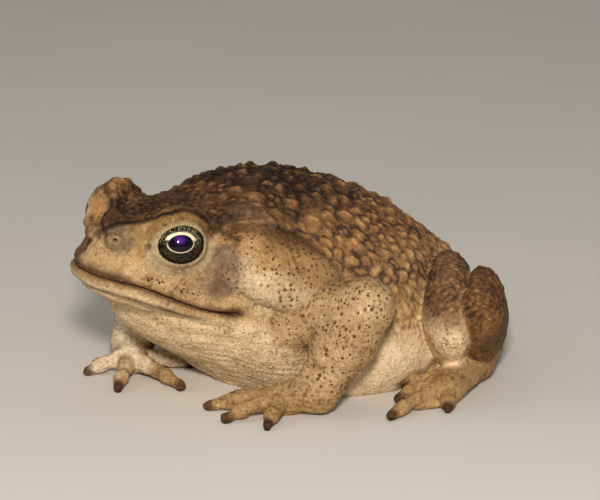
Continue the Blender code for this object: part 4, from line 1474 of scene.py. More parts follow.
@dataclass
class Toad:
    """The whole body: sizes of each stretch, and the field that they make together."""

    trunk: Trunk
    head: Head
    glands: tuple[Gland, Gland]
    arms: tuple[Arm, Arm]
    legs: tuple[HindLeg, HindLeg]
    arm_fillet: float = 5.0
    leg_fillet: float = 2.0
    low: Point = (-62.0, -70.0, -1.5)
    high: Point = (62.0, 62.0, 56.0)

    @classmethod
    def made(cls) -> "Toad":
        """Return the toad in its stance."""
        return cls(Trunk(), Head(), tuple(Gland(side) for side in Side),
                   tuple(Arm.made(side) for side in Side), tuple(HindLeg(side) for side in Side))

    def body_field(self, space: Samples) -> Array:
        """Return the field of the trunk, the head and the glands."""
        clay = Clay(space, melt(self.trunk.field(space), self.head.field(space), self.trunk.softness))
        for gland in self.glands:
            clay.add(gland.form, 2.0)
        return clay.field

    def plain_field(self, space: Samples) -> Array:
        """Join the limbs to the body.

        Args:
            space: Places to measure at.

        Returns:
            The field of the whole toad without its warts and face.
        """
        whole = self.body_field(space)
        for arm in self.arms:
            whole = self.joined(space, whole, arm.field(space), arm.shoulder, self.arm_fillet)
        for leg in self.legs:
            whole = self.joined(space, whole, leg.field(space), leg.at("hip"), self.leg_fillet)
        return whole

    @staticmethod
    def joined(space: Samples, whole: Array, limb: Array, root: Sequence[float], width: float) -> Array:
        """Return the field of body and limb joined, with a wide fillet only near the limb's root."""
        away = (space.x - root[0]) ** 2 + (space.y - root[1]) ** 2 + (space.z - root[2]) ** 2
        return melt(whole, limb, LIMB_FILLET + width * np.exp(-away / ROOT_REACH ** 2))

    def wart_size(self, points: Array) -> Array:
        """Say how large the warts are at places on the skin.

        Args:
            points: The places.

        Returns:
            The size against that of the flank, 0 for none.
        """
        spots = Spots(points)
        across, back, up = self.head.pose.coordinates(spots)
        height = points[:, 2] + 0.1 * np.maximum(points[:, 1] - 10.0, 0.0)
        size = 0.7 + 0.22 * ease(height, 16.0, 28.0) + 0.16 * ease(points[:, 2], 36.0, 46.0)
        size *= ease(height, 12.0, 15.0)
        arms = np.minimum(*(arm.field(spots) for arm in self.arms))
        size *= ease(arms, 0.6, 1.4)
        feet = np.minimum(*(leg.foot_field(spots) for leg in self.legs))
        size *= ease(feet, 0.6, 1.4)
        legs = np.minimum(*(leg.field(spots) for leg in self.legs))
        on_leg = fade(legs, 0.2, 0.8)
        thighs = np.minimum(*(leg.thigh_field(spots) - leg.shank_field(spots) for leg in self.legs))
        on_thigh = on_leg * fade(thighs, -0.5, 0.5)
        size *= 1.0 - on_leg * fade(points[:, 2], 3.0, 6.0)
        size *= 1.0 - on_thigh * fade(points[:, 2], 17.0, 21.0)
        size *= 1.0 - 0.3 * on_leg
        for side, gland in zip(Side, self.glands):
            size *= ease(gland.form.distance(spots), 0.3, 0.9)
            socket = Socket(side, self.head.pose)
            size *= ease(socket.measures(spots)[1], 1.6, 2.4)
        on_head = fade(back, -8.0, 2.0)
        crown = ease(up, 12.0, 15.0) * fade(-back, 21.0, 25.0)
        ridge = np.array(self.head.crest)
        between = ease(np.interp(back, ridge[:, 1], ridge[:, 0]) - np.abs(across), -0.3, 0.7)
        size *= 1.0 - on_head * (1.0 - 0.62 * crown * np.where(back < -7.0, between, 1.0))
        size *= 1.0 - fade(back, 0.0, 6.0) * fade(up, 8.0, 12.0)
        return size


@dataclass
class Skin:
    """The one skin over all the flesh."""

    toad: Toad
    shift: Array
    name: str = "toad_skin"

    def seeds(self) -> Warts:
        """Throw the warts over the plain body.

        Returns:
            The warts.
        """
        space = Block(self.toad.low, self.toad.high, SEED_STEP)
        points, faces = Mould(space, self.toad.plain_field(space)).cast()
        a, b, c = (points[faces[:, i]] for i in range(3))
        slopes = np.cross(b - a, c - a)
        outward = np.zeros_like(points)
        for i in range(3):
            np.add.at(outward, faces[:, i], slopes)
        outward /= np.maximum(np.linalg.norm(outward, axis=1), 1e-9)[:, None]
        legs = np.minimum(*(leg.field(Spots(points)) for leg in self.toad.legs))
        return WartMaker().throw(points, outward, self.toad.wart_size(points), fade(legs, 0.2, 0.8))

    def shaped(self, space: Block, warts: WartField) -> Array:
        """Work every form of the skin out.

        Args:
            space: The block to work in.
            warts: Measures of the warts in it.

        Returns:
            The field of the skin.
        """
        field = self.toad.plain_field(space)
        field -= warts.height
        ripple = (np.sin(space.x * 0.61 + 1.0) * np.sin(space.y * 0.53 + 2.0) * np.sin(space.z * 0.67)
                  + 0.6 * np.sin(space.x * 1.3) * np.sin(space.y * 1.17 + 0.7) * np.sin(space.z * 1.43 + 0.4))
        lumps = np.sin(space.x * 0.37 + 0.4) * np.sin(space.y * 0.41 + 1.3)
        lumps = lumps + 0.7 * np.sin(space.x * 0.8 + space.y * 0.3)
        field -= 0.2 * ripple + (0.3 * lumps - 0.8) * ease(space.z, 30.0, 42.0) * ease(space.y, -14.0, -4.0)
        for gland in self.toad.glands:
            cut, near = space.window(gland.form.middle, gland.form.reach + 6.0)
            field[cut] += 1.0 * bump(gland.form.distance(near), 0.6, 0.6) * gland.bordered(near)
        clay = Clay(space, field)
        self.toad.head.shape_face(clay)
        return np.maximum(clay.field, -space.z)

    def thinned(self, points: Array, faces: Array) -> bpy.types.Mesh:
        """Bring the surface down to its number of triangles.

        Args:
            points: Its points.
            faces: Its triangles.

        Returns:
            The mesh, still in millimetres.
        """
        rough = make_mesh(self.name + "_rough", points, faces)
        carrier = put(rough.name, rough)
        thin = carrier.modifiers.new("thin", "DECIMATE")
        thin.ratio = min(1.0, SKIN_TRIANGLES / len(faces))
        mesh = evaluated_mesh(carrier)
        bpy.data.meshes.remove(rough)
        return mesh

    def dressed(self, mesh: bpy.types.Mesh, space: Block, warts: WartField) -> None:
        """Store on every point what the finish reads.

        Args:
            mesh: The skin, in millimetres.
            space: The block that the warts were settled in.
            warts: Measures of the warts.
        """
        points = read_vectors(mesh.vertices, "co").astype(float)
        present = space.read(warts.present, points)
        crease = space.read(warts.crease, points) * present
        marks = Markings(self.toad, points, present)
        # crease darkens the tone between warts as painted shade; top lightens wart tops, partly as painted
        # highlight.
        write_attribute(mesh, "crease", crease)
        write_attribute(mesh, "top", 0.3 + (space.read(warts.dome, points) - 0.3) * present)
        write_attribute(mesh, "tone", 0.5 + (space.read(warts.tone, points) - 0.5) * present)
        for name, values in marks.attributes().items():
            write_attribute(mesh, name, values)

    def build(self) -> bpy.types.Object:
        """Make the skin.

        Returns:
            Its object, in metres and in the frame of the solids.
        """
        warts = self.seeds()
        log.info("warts: %d", len(warts.points))
        space = Block(self.toad.low, self.toad.high, SKIN_STEP)
        measures = warts.settle(space)
        points, faces = Mould(space, self.shaped(space, measures)).cast()
        log.info("skin before thinning: %d triangles", len(faces))
        mesh = self.thinned(points, faces)
        mesh.name = self.name
        self.dressed(mesh, space, measures)
        places = read_vectors(mesh.vertices, "co")
        places[places[:, 2] < FLOOR_SNAP, 2] = 0.0
        mesh.vertices.foreach_set("co", ((places + self.shift) * METRES).astype(np.float32).ravel())
        mesh.materials.append(SkinFinish().made())
        mesh.shade_smooth()
        return put(self.name, mesh)


@dataclass
class Markings:
    """Tones, dots and grain of the skin, worked out from its place on the body."""

    toad: Toad
    points: Array
    present: Array
    body_bands: tuple[tuple[Stretch, float, float], ...] = (
        (Stretch.FLANK_LOW, 12.0, 20.0), (Stretch.FLANK_HIGH, 20.0, 29.0), (Stretch.BACK_SIDE, 30.0, 39.0),
        (Stretch.BACK_TOP, 40.0, 48.5))
    gland_bands: tuple[tuple[Stretch, float, float], ...] = (
        (Stretch.GLAND, -6.5, -1.5), (Stretch.GLAND_HIGH, 2.5, 7.5))
    belly_end: tuple[float, float] = (12.0, 20.0)
    # Heights over which the shade painted between warts grows to full.
    furrows_start: tuple[float, float] = (16.0, 27.0)
    drum: tuple[Point, Point] = ((20.5, -8.2, 9.6), (5.2, 4.6, 6.4))
    below_eye: tuple[Point, Point] = ((18.5, -12.0, 5.0), (4.0, 4.4, 2.2))
    nose: tuple[Point, Point] = ((3.9, -27.8, 10.5), (4.6, 3.8, 3.6))
    eye_corner: Point = (10.4, -24.3, 11.2)
    collar: tuple[Point, Point, tuple[float, float]] = ((25.0, -5.2, 12.5), (29.5, 0.2, 4.0), (2.2, 3.0))
    ridge: tuple[Point, Point, tuple[float, float]] = ((5.9, -24.7, 13.6), (9.6, -25.2, 8.7), (1.1, 0.9))
    crest_width: float = 0.8
    eye_reach: tuple[float, float] = (8.2, 11.0)
    knee_spot: tuple[Point, Point] = ((46.0, 12.0, 16.0), (2.6, 2.6, 1.3))
    # Level direction towards the camera, which finds the side of an arm that faces it.
    inward: Point = (0.8, -0.55, 0.0)

    def swirl(self, size: float, seed: float) -> Array:
        """Return soft noise from -1 to 1 with features of a size in millimetres."""
        x, y, z = (self.points / size * 2.0).T
        first = np.sin(x + 1.7 * np.sin(y * 0.8 + seed) + seed)
        second = np.sin(y + 1.3 * np.sin(z * 0.9 + seed * 2.0))
        return (first * second + np.sin(z * 1.1 + 1.5 * np.sin(x * 0.7 + seed * 3.0) + seed)) / 2.0

    def attributes(self) -> dict[str, Array]:
        """Work out every attribute that the finishes read.

        Returns:
            The attributes by name.
        """
        z, y = self.points[:, 2], self.points[:, 1]
        height = z + 0.1 * np.maximum(y - 6.0, 0.0) + 2.2 * self.swirl(11.0, 0.4) + 1.2 * self.swirl(4.0, 1.9)
        palette = Palette.over(len(z), Stretch.BELLY)
        for stretch, low, high in self.body_bands:
            palette.lay(stretch, ease(height, low, high))
        on_belly = fade(height, *self.belly_end)
        # line sets how strongly shade is painted into the creases between warts.
        relief = {"dots": 0.3 * on_belly, "specks": np.zeros(len(z)), "pebbled": 0.35 + 0.65 * on_belly,
                  "line": 0.3 + 0.7 * ease(height, *self.furrows_start)}
        self.mark_head(palette, relief)
        for side, gland in zip(Side, self.toad.glands):
            self.mark_side(palette, relief, side, gland)
        limb, foot = self.mark_limbs(palette, relief)
        palette.lay(Stretch.TIP, self.tips())
        relief["dots"] *= 1.0 - self.present
        relief["granules"] = self.granules(limb, foot, relief["specks"])
        return {**dict(zip(TONE_NAMES, palette.tones)), **relief}

    def mark_head(self, palette: Palette, relief: dict[str, Array]) -> None:
        """Mark the crown, the cheeks, the lips and the throat.

        Args:
            palette: The tones so far.
            relief: The other attributes so far.
        """
        head, spots, z = self.toad.head, Spots(self.points), self.points[:, 2]
        across, back, up = head.pose.coordinates(spots)
        over = head.over_mouth(spots)
        on_head = fade(back, -1.0, 5.0)
        palette.lay(Stretch.THROAT, fade(back, 8.0, 20.0) * fade(over, -3.0, 0.0))
        palette.lay(Stretch.CHEEK, on_head * ease(over, -2.0, 0.5) * fade(z, 44.0, 48.0))
        front = ease(-back, 25.0, 29.0)
        palette.lay(Stretch.LIP, bump(over, 0.4, 1.2) * ease(-back, 0.0, 4.0), 0.75)
        palette.lay(Stretch.MOUTH, bump(over, 0.3 + front, 0.42 + front) * ease(-back, 0.5, 2.5), 0.85)
        fold = bump(over - 0.05 * back, -1.9, 0.45) * ease(-back, 5.0, 12.0)
        palette.lay(Stretch.MOUTH, fold * (0.9 + 0.4 * self.swirl(1.8, 2.7)), 0.9)
        # Shade is painted over the far side of the snout, out from the far snout line.
        snout = np.array(head.snout_mark)
        rim = ease(np.interp(up, snout[:, 2], snout[:, 0]) - across, 0.0, 0.8) * fade(-across, 9.0, 12.0)
        palette.lay(Stretch.RIM, rim * ease(-back, 22.0, 25.0) * ease(over, 0.4, 1.4), 0.85)
        corner = np.sqrt((back + 3.5) ** 2 + (over - 0.4) ** 2 * 2.0)
        palette.lay(Stretch.MOUTH, fade(corner, 1.2, 3.4) * ease(np.abs(across), 12.0, 15.0), 0.8)
        ridge = np.array(head.crest_mark)
        # On the far side the dark crown tone reaches 3.5 mm further over the front of the snout, as painted
        # shade.
        reach = np.interp(back, ridge[:, 1], ridge[:, 0]) + 3.5 * (across < 0.0) * ease(-back, 21.0, 24.0)
        inside = ease(reach - np.abs(across), -0.3, 0.4) * ease(up, 8.0, 9.5)
        palette.lay(Stretch.CROWN, on_head * inside)
        row = bump(over - 0.06 * (back + 10.0), 3.4, 0.9)
        row *= ease(-back, 7.0, 10.0) * fade(-back, 23.0, 26.0)
        below = fade(over, -4.0, -1.0) * fade(back, 10.0, 24.0)
        relief["specks"] = np.maximum.reduce([0.8 * below, 1.6 * row, 0.45 * on_head * (1.0 - inside)])
        relief["dots"] = np.maximum(relief["dots"], 1.4 * row)
        relief["pebbled"] = np.where(inside * on_head > 0.5, 0.9, relief["pebbled"])

    def mark_side(self, palette: Palette, relief: dict[str, Array], side: Side, gland: Gland) -> None:
        """Mark the gland, eardrum, lids, brow and nostril of one side.

        Args:
            palette: The tones so far.
            relief: The other attributes so far.
            side: The side.
            gland: Its gland.
        """
        head, spots = self.toad.head, Spots(self.points)
        across, back, up = head.pose.coordinates(spots)
        outer = across * side.value
        edge = gland.form.distance(spots)
        on_gland = fade(edge, 0.4, 1.4)
        along, lift = gland.coordinates(spots)[1:]
        shade = lift - 0.12 * along + 1.2 * self.swirl(5.0, 2.2)
        palette.lay(Stretch.GLAND_LOW, on_gland)
        for stretch, low, high in self.gland_bands:
            palette.lay(stretch, on_gland * ease(shade, low, high))
        # Shade is painted into the groove round the gland, strongest along its top.
        rim = bump(edge, 0.6, 0.8) * gland.bordered(spots)
        palette.lay(Stretch.GLAND_EDGE, rim * (0.6 + 0.4 * ease(lift, -4.0, 2.0)))
        relief["dots"] = np.maximum(relief["dots"], on_gland)
        drum = head.egg(side, *self.drum).distance(spots)
        mottle = 0.85 + 0.3 * self.swirl(3.2, 0.9)
        below_eye = head.egg(side, *self.below_eye).distance(spots)
        palette.lay(Stretch.EAR, fade(below_eye, -1.5, 1.5) * ease(outer, 8.0, 12.0), 0.45)
        palette.lay(Stretch.EAR, fade(drum, -0.8, 1.6) * ease(outer, 8.0, 12.0) * mottle)
        collar = fade(head.rod(side, *self.collar).distance(spots), -0.8, 1.6)
        collar = collar * (0.8 + 0.3 * self.swirl(2.6, 1.3))
        palette.lay(Stretch.COLLAR, collar, 0.75)
        relief["dots"] *= 1.0 - 0.7 * np.clip(collar, 0.0, 1.0)
        socket = Socket(side, head.pose)
        away, outside, depth = socket.measures(spots)
        tall = sum((self.points[:, i] - socket.middle[i]) * socket.axes()[2][i] for i in range(3))
        left = side is Side.LEFT
        lids_end = self.eye_reach[0 if left else 1]
        near_eye = fade(away, lids_end, lids_end + 1.8) * ease(depth, -2.0, 1.0) * ease(outer, 6.0, 8.0)
        upper = ease(tall, -0.5, 2.0)
        # The far brow takes a lighter copy of the brow tones, painted light.
        palette.lay(Stretch.BROW if left else Stretch.FAR_BROW, near_eye * (upper if left else 1.0))
        reach = 3.0 - 2.2 * upper if left else 0.6
        palette.lay(Stretch.LID, near_eye * fade(outside - reach, -0.6, 0.8), 0.95)
        nose = head.egg(side, *self.nose).distance(spots)
        # The grey nose patch is laid only faintly on the far side, which leaves the far snout dark as painted
        # shade.
        palette.lay(Stretch.NOSE, fade(nose, -0.7, 0.7) * (0.8 + 0.3 * self.swirl(2.0, 0.2)),
                    0.95 if left else 0.2)
        palette.lay(Stretch.BROW, fade(head.rod(side, *self.ridge).distance(spots), -0.2, 0.8), 0.85)
        corner = np.linalg.norm(self.points - head.pose.point(side.mirror(self.eye_corner)), axis=1)
        palette.lay(Stretch.MOUTH, fade(corner, 0.5, 1.5), 0.8)
        shoulder = Clay.empty(spots)
        head.add_shoulder(shoulder, side)
        mottle = 0.7 + 0.4 * self.swirl(2.4, 0.8)
        palette.lay(Stretch.SHOULDER, fade(shoulder.field, -0.1, 0.9) * mottle, 0.85)
        line = self.from_line(head.crest_mark, (outer, back, up))
        # In the left pass only, the crest tone is also painted along the far edge of the snout as shade.
        if left:
            line = np.minimum(line, self.from_line(head.snout_mark, (across, back, up)))
        thin = np.exp(-(line / self.crest_width) ** 4)
        palette.lay(Stretch.CREST, thin * (0.9 + 0.25 * self.swirl(2.4, 3.0)))

    def from_line(self, line: Sequence[Point], places: Sequence[Array]) -> Array:
        """Return the distance of places from a line through a row of points in the head's pose."""
        spots = Spots(np.stack(places, axis=1))
        return np.minimum.reduce([Rod(first, second, 0.0, 0.0).distance(spots)
                                  for first, second in zip(line[:-1], line[1:])])

    def mark_limbs(self, palette: Palette, relief: dict[str, Array]) -> tuple[Array, Array]:
        """Mark the arms and the hind legs.

        Args:
            palette: The tones so far.
            relief: The other attributes so far.

        Returns:
            How far each point lies on an arm, and on a foot.
        """
        toad, spots, z = self.toad, Spots(self.points), self.points[:, 2]
        body = toad.body_field(spots)
        arms = np.minimum(*(arm.field(spots) for arm in toad.arms))
        hands = np.minimum(*(arm.hand_field(spots) for arm in toad.arms))
        thighs = np.minimum(*(leg.thigh_field(spots) for leg in toad.legs))
        shanks = np.minimum(*(leg.shank_field(spots) for leg in toad.legs))
        feet = np.minimum(*(leg.foot_field(spots) for leg in toad.legs))
        arm = fade(arms - body, -1.0, 0.6) * fade(arms, 0.8, 2.0)
        on_right = -self.points[:, 0]
        palette.lay(Stretch.ARM, arm)
        # On the far arm, the side facing the camera (inner) takes a paler copy of the arm tones as painted
        # light, and the hand there keeps less of its own tone.
        moved = Spots(self.points + np.array(self.inward))
        inner = ease(np.minimum(*(arm.field(moved) for arm in toad.arms)) - arms, -0.2, 0.5)
        palette.lay(Stretch.PALE_ARM, arm * inner * ease(on_right, 2.0, 6.0), 0.85)
        hand = fade(hands, 0.6, 1.6)
        palette.lay(Stretch.HAND, hand * fade(z, 3.0, 9.0) * (1.0 - 0.6 * ease(on_right, -8.0, -2.0) * inner))
        thigh = fade(thighs - np.minimum(body, shanks), -1.0, 0.6) * fade(thighs, 0.8, 2.2)
        palette.lay(Stretch.THIGH_LOW, thigh)
        palette.lay(Stretch.THIGH, thigh * ease(z + 1.5 * self.swirl(6.0, 5.0), 15.0, 23.0))
        shank = fade(shanks - np.minimum(body, thighs), -1.0, 0.6) * fade(shanks, 0.8, 2.2)
        palette.lay(Stretch.SHANK, shank)
        foot = fade(feet, 0.7, 1.8) * (1.0 - thigh)
        palette.lay(Stretch.FOOT, foot)
        spot = np.linalg.norm((self.points - self.knee_spot[0]) / self.knee_spot[1], axis=1)
        palette.lay(Stretch.NOSE, fade(spot, 0.6, 1.3), 0.6)
        limb = np.maximum(arm, hand)
        relief["dots"] = np.maximum.reduce([
            relief["dots"] * (1.0 - limb), arm * (1.0 - 0.6 * hand), 0.4 * foot, 0.7 * thigh])
        relief["specks"] = np.maximum(relief["specks"] * (1.0 - limb), 0.5 * hand)
        relief["pebbled"] = relief["pebbled"] * (1.0 - 0.4 * limb)
        # Less shade is painted into the creases on the thighs and shanks.
        relief["line"] = relief["line"] * (1.0 - 0.35 * np.maximum(thigh, shank))
        return limb, foot

    def tips(self) -> Array:
        """Return 1 on the dark ends of the fingers and toes."""
        ends = [tip for arm in self.toad.arms for tip in arm.tips]
        ends += [leg.side.mirror(tip) for leg in self.toad.legs for tip in leg.tips]
        share = np.zeros(len(self.points))
        for end in ends:
            away = np.linalg.norm(self.points - np.array(end), axis=1)
            share = np.maximum(share, fade(away, 0.9, 2.7))
        return share

    def granules(self, limb: Array, foot: Array, below: Array) -> Array:
        """Return how thickly granules grow, from how far a place is on an arm, a foot or the throat."""
        belly = fade(self.points[:, 2], 14.0, 20.0)
        share = np.maximum.reduce([0.5 * limb, 0.4 * foot, 0.4 * np.minimum(below, 1.0), 0.6 * belly])
        return share * (1.0 - self.present) * ease(self.points[:, 2], 1.0, 2.5)


@dataclass
class Granules:
    """Low granules on the arms, the feet, the throat and the sides of the belly."""

    skin: bpy.types.Object
    spacing: float = 1.35
    spread: tuple[float, float] = (0.62, 1.2)
    size: float = 0.4
    height: float = 0.12
    seed: int = 5
    name: str = "toad_granules"

    def tree(self, material: bpy.types.Material) -> bpy.types.GeometryNodeTree:
        """Build the nodes that set a dome on every chosen place.

        Args:
            material: Finish of the granules.

        Returns:
            The tree.
        """
        tree = bpy.data.node_groups.new(self.name, "GeometryNodeTree")
        face = tree.interface
        face.new_socket("Geometry", in_out="INPUT", socket_type="NodeSocketGeometry")
        for title in ("Spacing", "Size", "Height"):
            face.new_socket(title, in_out="INPUT", socket_type="NodeSocketFloat")
        face.new_socket("Seed", in_out="INPUT", socket_type="NodeSocketInt")
        face.new_socket("Geometry", in_out="OUTPUT", socket_type="NodeSocketGeometry")
        node = partial(add_node, tree)
        given = tree.nodes.new("NodeGroupInput")
        density = node("GeometryNodeInputNamedAttribute", {"data_type": "FLOAT"}, {"Name": "granules"})
        spread = node("GeometryNodeDistributePointsOnFaces", {"distribute_method": "POISSON"}, {
            "Mesh": given.outputs["Geometry"], "Distance Min": given.outputs["Spacing"],
            "Density Max": DENSITY, "Density Factor": density.outputs["Attribute"],
            "Seed": given.outputs["Seed"]})
        where = node("GeometryNodeInputPosition", {}, {})
        rooted = node("GeometryNodeStoreNamedAttribute", {"data_type": "FLOAT_VECTOR", "domain": "POINT"}, {
            "Geometry": spread.outputs["Points"], "Name": "root_place", "Value": where.outputs["Position"]})
        chance = node("FunctionNodeRandomValue", {"data_type": "FLOAT"}, {
            "Min": 0.0, "Max": 1.0, "Seed": given.outputs["Seed"]})
        drawn = node("GeometryNodeStoreNamedAttribute", {"data_type": "FLOAT", "domain": "POINT"}, {
            "Geometry": rooted.outputs["Geometry"], "Name": "draw", "Value": chance.outputs["Value"]})
        dome = node("GeometryNodeMeshUVSphere", {}, {"Segments": 8, "Rings": 5, "Radius": 1.0})
        scale = node("ShaderNodeCombineXYZ", {}, {
            "X": given.outputs["Size"], "Y": given.outputs["Size"], "Z": given.outputs["Height"]})
        shape = node("GeometryNodeTransform", {}, {
            "Geometry": dome.outputs["Mesh"], "Scale": scale.outputs["Vector"]})
        vary = node("FunctionNodeRandomValue", {"data_type": "FLOAT"}, {
            "Min": self.spread[0], "Max": self.spread[1], "Seed": 3})
        placed = node("GeometryNodeInstanceOnPoints", {}, {
            "Points": drawn.outputs["Geometry"], "Instance": shape.outputs["Geometry"],
            "Rotation": spread.outputs["Rotation"], "Scale": vary.outputs["Value"]})
        real = node("GeometryNodeRealizeInstances", {}, {"Geometry": placed.outputs["Instances"]})
        smooth = node("GeometryNodeSetShadeSmooth", {}, {"Geometry": real.outputs["Geometry"]})
        finish = node("GeometryNodeSetMaterial", {}, {
            "Geometry": smooth.outputs["Geometry"], "Material": material})
        node("NodeGroupOutput", {}, {"Geometry": finish.outputs["Geometry"]})
        return tree

    def grown(self) -> bpy.types.Mesh:
        """Run the nodes on the skin.

        Returns:
            A plain mesh of all granules.
        """
        carrier = self.skin.copy()
        bpy.context.scene.collection.objects.link(carrier)
        modifier = carrier.modifiers.new("granules", "NODES")
        modifier.node_group = self.tree(self.skin.data.materials[0])
        sizes = {"Spacing": self.spacing * METRES, "Size": self.size * METRES, "Height": self.height * METRES,
                 "Seed": self.seed}
        for item in modifier.node_group.interface.items_tree:
            if item.name in sizes and item.in_out == "INPUT":
                modifier[item.identifier] = sizes[item.name]
        mesh = evaluated_mesh(carrier)
        mesh.name = self.name
        return mesh

    def dress(self, mesh: bpy.types.Mesh, toad: Toad, shift: Array) -> None:
        """Give the granules the tones of the skin under them, and their map.

        Args:
            mesh: The granules.
            toad: The body that they grow on.
            shift: Step from the toad's frame to that of the solids.
        """
        roots = read_vectors(mesh.attributes["root_place"].data, "vector").astype(float)
        draw = np.empty(len(roots), dtype=np.float32)
        mesh.attributes["draw"].data.foreach_get("value", draw)
        points = roots / METRES - shift
        nearby = Markings(toad, points, np.zeros(len(points))).attributes()
        nearby.update(crease=np.zeros(len(points)), top=0.15 * draw, tone=0.42 + 0.16 * draw)
        for name, values in nearby.items():
            if name in mesh.attributes:
                mesh.attributes.remove(mesh.attributes[name])
            write_attribute(mesh, name, values)
        places = read_vectors(mesh.vertices, "co").astype(float)
        angle = np.arctan2(points[:, 0], points[:, 2] - MAP_AXIS) / math.tau + 0.5
        along = (points[:, 1] + MAP_LENGTH / 2.0) / MAP_LENGTH
        base = MAP_MARGIN + (1.0 - 2.0 * MAP_MARGIN) * np.stack([angle, along], axis=1)
        local = (places - roots) / (2.0 * self.size * METRES)
        patch = base + MAP_PATCH * (local[:, :2] + 0.4 * local[:, 2:])
        layer = mesh.uv_layers.new(name="OFBake")
        corners = np.empty(len(mesh.loops), dtype=np.int32)
        mesh.loops.foreach_get("vertex_index", corners)
        layer.data.foreach_set("uv", patch[corners].astype(np.float32).ravel())

    def build(self, toad: Toad, shift: Array) -> bpy.types.Object:
        """Make the granules.

        Args:
            toad: The body that they grow on.
            shift: Step from the toad's frame to that of the solids.

        Returns:
            Their object.
        """
        mesh = self.grown()
        self.dress(mesh, toad, shift)
        log.info("granules: %d faces", len(mesh.polygons))
        return put(self.name, mesh)


@dataclass
class Eye:
    """One eyeball with a slight bulge of the cornea."""

    socket: Socket
    shift: Array
    segments: int = 72
    rings: int = 48
    bulge: float = 0.25
    cornea: float = 0.55

    def build(self, material: bpy.types.Material) -> bpy.types.Object:
        """Make the eyeball, its pole on the line of sight.

        Args:
            material: Finish of the eyes.

        Returns:
            Its object.
        """
        angle = np.linspace(0.0, math.pi, self.rings + 1)[1:-1]
        turn = np.linspace(0.0, 2.0 * math.pi, self.segments, endpoint=False)
        radius = self.socket.radius + self.bulge * bump(angle, 0.0, self.cornea)
        ring = radius * np.sin(angle)
        wide = (ring[:, None] * np.cos(turn)).ravel()
        tall = (ring[:, None] * np.sin(turn)).ravel()
        depth = np.repeat(radius * np.cos(angle), self.segments)
        wide, tall = np.append(wide, (0.0, 0.0)), np.append(tall, (0.0, 0.0))
        depth = np.append(depth, (self.socket.radius + self.bulge, -self.socket.radius))
        gaze, along, up = self.socket.axes()
        points = self.socket.middle + depth[:, None] * gaze + wide[:, None] * along + tall[:, None] * up
        mesh = make_mesh("eyeball_" + self.socket.side.word, (points + self.shift) * METRES, self.faces())
        write_attribute(mesh, "eye_place", np.stack([wide, tall, depth], axis=1))
        mesh.materials.append(material)
        mesh.shade_smooth()
        return put(mesh.name, mesh)

    def faces(self) -> Array:
        """Return the triangles of the ball, facing outwards."""
        count, rings = self.segments, self.rings - 1
        top, bottom = rings * count, rings * count + 1
        here = np.arange(count)
        after = (here + 1) % count
        faces = [np.stack([np.full(count, top), here, after], axis=1)]
        for ring in range(rings - 1):
            a, b = ring * count + here, ring * count + after
            faces += [np.stack([a, a + count, b], axis=1), np.stack([b, a + count, b + count], axis=1)]
        last = (rings - 1) * count
        faces.append(np.stack([last + here, np.full(count, bottom), last + after], axis=1))
        return np.concatenate(faces)


class Lamp(Enum):
    """Lamps: metres towards the camera, to its right and up, side in metres, watts and colour."""

    KEY = ((0.8, 0.0, 0.14), 0.08, 6.3, (1.0, 0.955, 0.89))
    SIDE = ((0.35, -0.9, 0.4), 0.6, 1.3, (1.0, 0.97, 0.93))
    TOP = ((-0.15, 0.1, 1.0), 0.9, 0.8, (1.0, 0.98, 0.95))


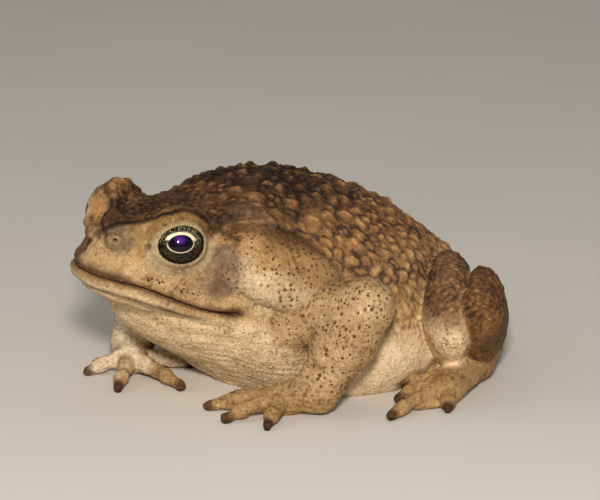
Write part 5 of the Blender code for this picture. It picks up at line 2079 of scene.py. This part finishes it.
@dataclass
class Studio:
    """The floor, the lights and the camera."""

    shift: Array
    azimuth: float = 55.0
    elevation: float = 15.0
    distance: float = 0.78
    lens: float = 187.0
    target: Point = (-1.58, 10.63, 27.58)
    floor: float = 6.0
    sensor: float = 36.0
    nearest: float = 0.05
    sky: Point = (0.84, 0.86, 0.9)
    sky_strength: float = 0.27

    def axes(self) -> tuple[Vector, Vector, Vector]:
        """Return the directions towards the camera, to its right and upwards."""
        turn, rise = math.radians(self.azimuth), math.radians(self.elevation)
        back = Vector((math.sin(turn) * math.cos(rise), -math.cos(turn) * math.cos(rise), math.sin(rise)))
        right = Vector((0.0, 0.0, 1.0)).cross(back).normalized()
        return back, right, back.cross(right)

    def middle(self) -> Vector:
        """Return the place that the camera looks at."""
        return Vector((np.array(self.target) + self.shift).tolist()) * METRES

    def add_camera(self) -> None:
        """Set the camera up."""
        back = self.axes()[0]
        data = bpy.data.cameras.new("camera")
        data.lens = self.lens
        data.sensor_width = self.sensor
        data.clip_start = self.nearest
        camera = put("camera", data)
        camera.location = self.middle() + back * self.distance
        camera.rotation_euler = back.to_track_quat("Z", "Y").to_euler()
        bpy.context.scene.camera = camera

    def add_light(self, lamp: Lamp) -> None:
        """Hang one soft square light that faces the toad."""
        name = lamp.name.lower()
        data = bpy.data.lights.new(name, "AREA")
        place, data.size, data.energy, data.color = lamp.value
        light = put(name, data)
        offset = sum((axis * amount for axis, amount in zip(self.axes(), place)), Vector())
        light.location = self.middle() + offset
        light.rotation_euler = offset.to_track_quat("Z", "Y").to_euler()

    def build(self) -> bpy.types.Object:
        """Set the whole studio up.

        Returns:
            The floor.
        """
        scene = bpy.context.scene
        world = bpy.data.worlds.new("studio")
        world.use_nodes = True
        background = world.node_tree.nodes["Background"]
        background.inputs["Color"].default_value = (*self.sky, 1.0)
        background.inputs["Strength"].default_value = self.sky_strength
        scene.world = world
        scene.view_settings.view_transform = "Standard"
        half = self.floor / 2
        corners = np.array([(-half, -half, 0.0), (half, -half, 0.0), (half, half, 0.0), (-half, half, 0.0)])
        mesh = make_mesh("studio_floor", corners, np.array([[0, 1, 2, 3]]))
        mesh.materials.append(FloorFinish().made())
        floor = put(mesh.name, mesh)
        for lamp in Lamp:
            self.add_light(lamp)
        self.add_camera()
        return floor


UNPAIRED = ("head", "lower_jaw", "torso")
FLESH = (*UNPAIRED, "parotoid", "tympanum", "upper_arm", "forearm", "hand", "thigh", "shank", "foot")


def main() -> None:
    """Load the solids and dress them."""
    logging.basicConfig(level=logging.INFO, format="%(message)s")
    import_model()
    toad = Toad.made()
    sockets = [Socket(side, toad.head.pose) for side in Side]
    low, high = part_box("eye_left")
    shift = np.array([(low[i] + high[i]) / 2 / METRES - sockets[0].middle[i] for i in range(3)])
    shift[2] = 0.0
    log.info("shift: %s", shift)

    studio = Studio(shift)
    studio.build()

    skin = Skin(toad, shift).build()
    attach(skin, "root")
    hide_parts(*UNPAIRED, *(f"{name}_{side.word}" for name in FLESH if name not in UNPAIRED
                                   for side in Side))
    log.info("skin: %d triangles", len(skin.data.polygons))

    granules = Granules(skin).build(toad, shift)
    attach(granules, "root")

    wet = EyeFinish().made()
    for socket in sockets:
        eye = Eye(socket, shift).build(wet)
        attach(eye, "root")
        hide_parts("eye_" + socket.side.word)
        log.info("%s", eye.name)


if __name__ == "__main__":
    main()
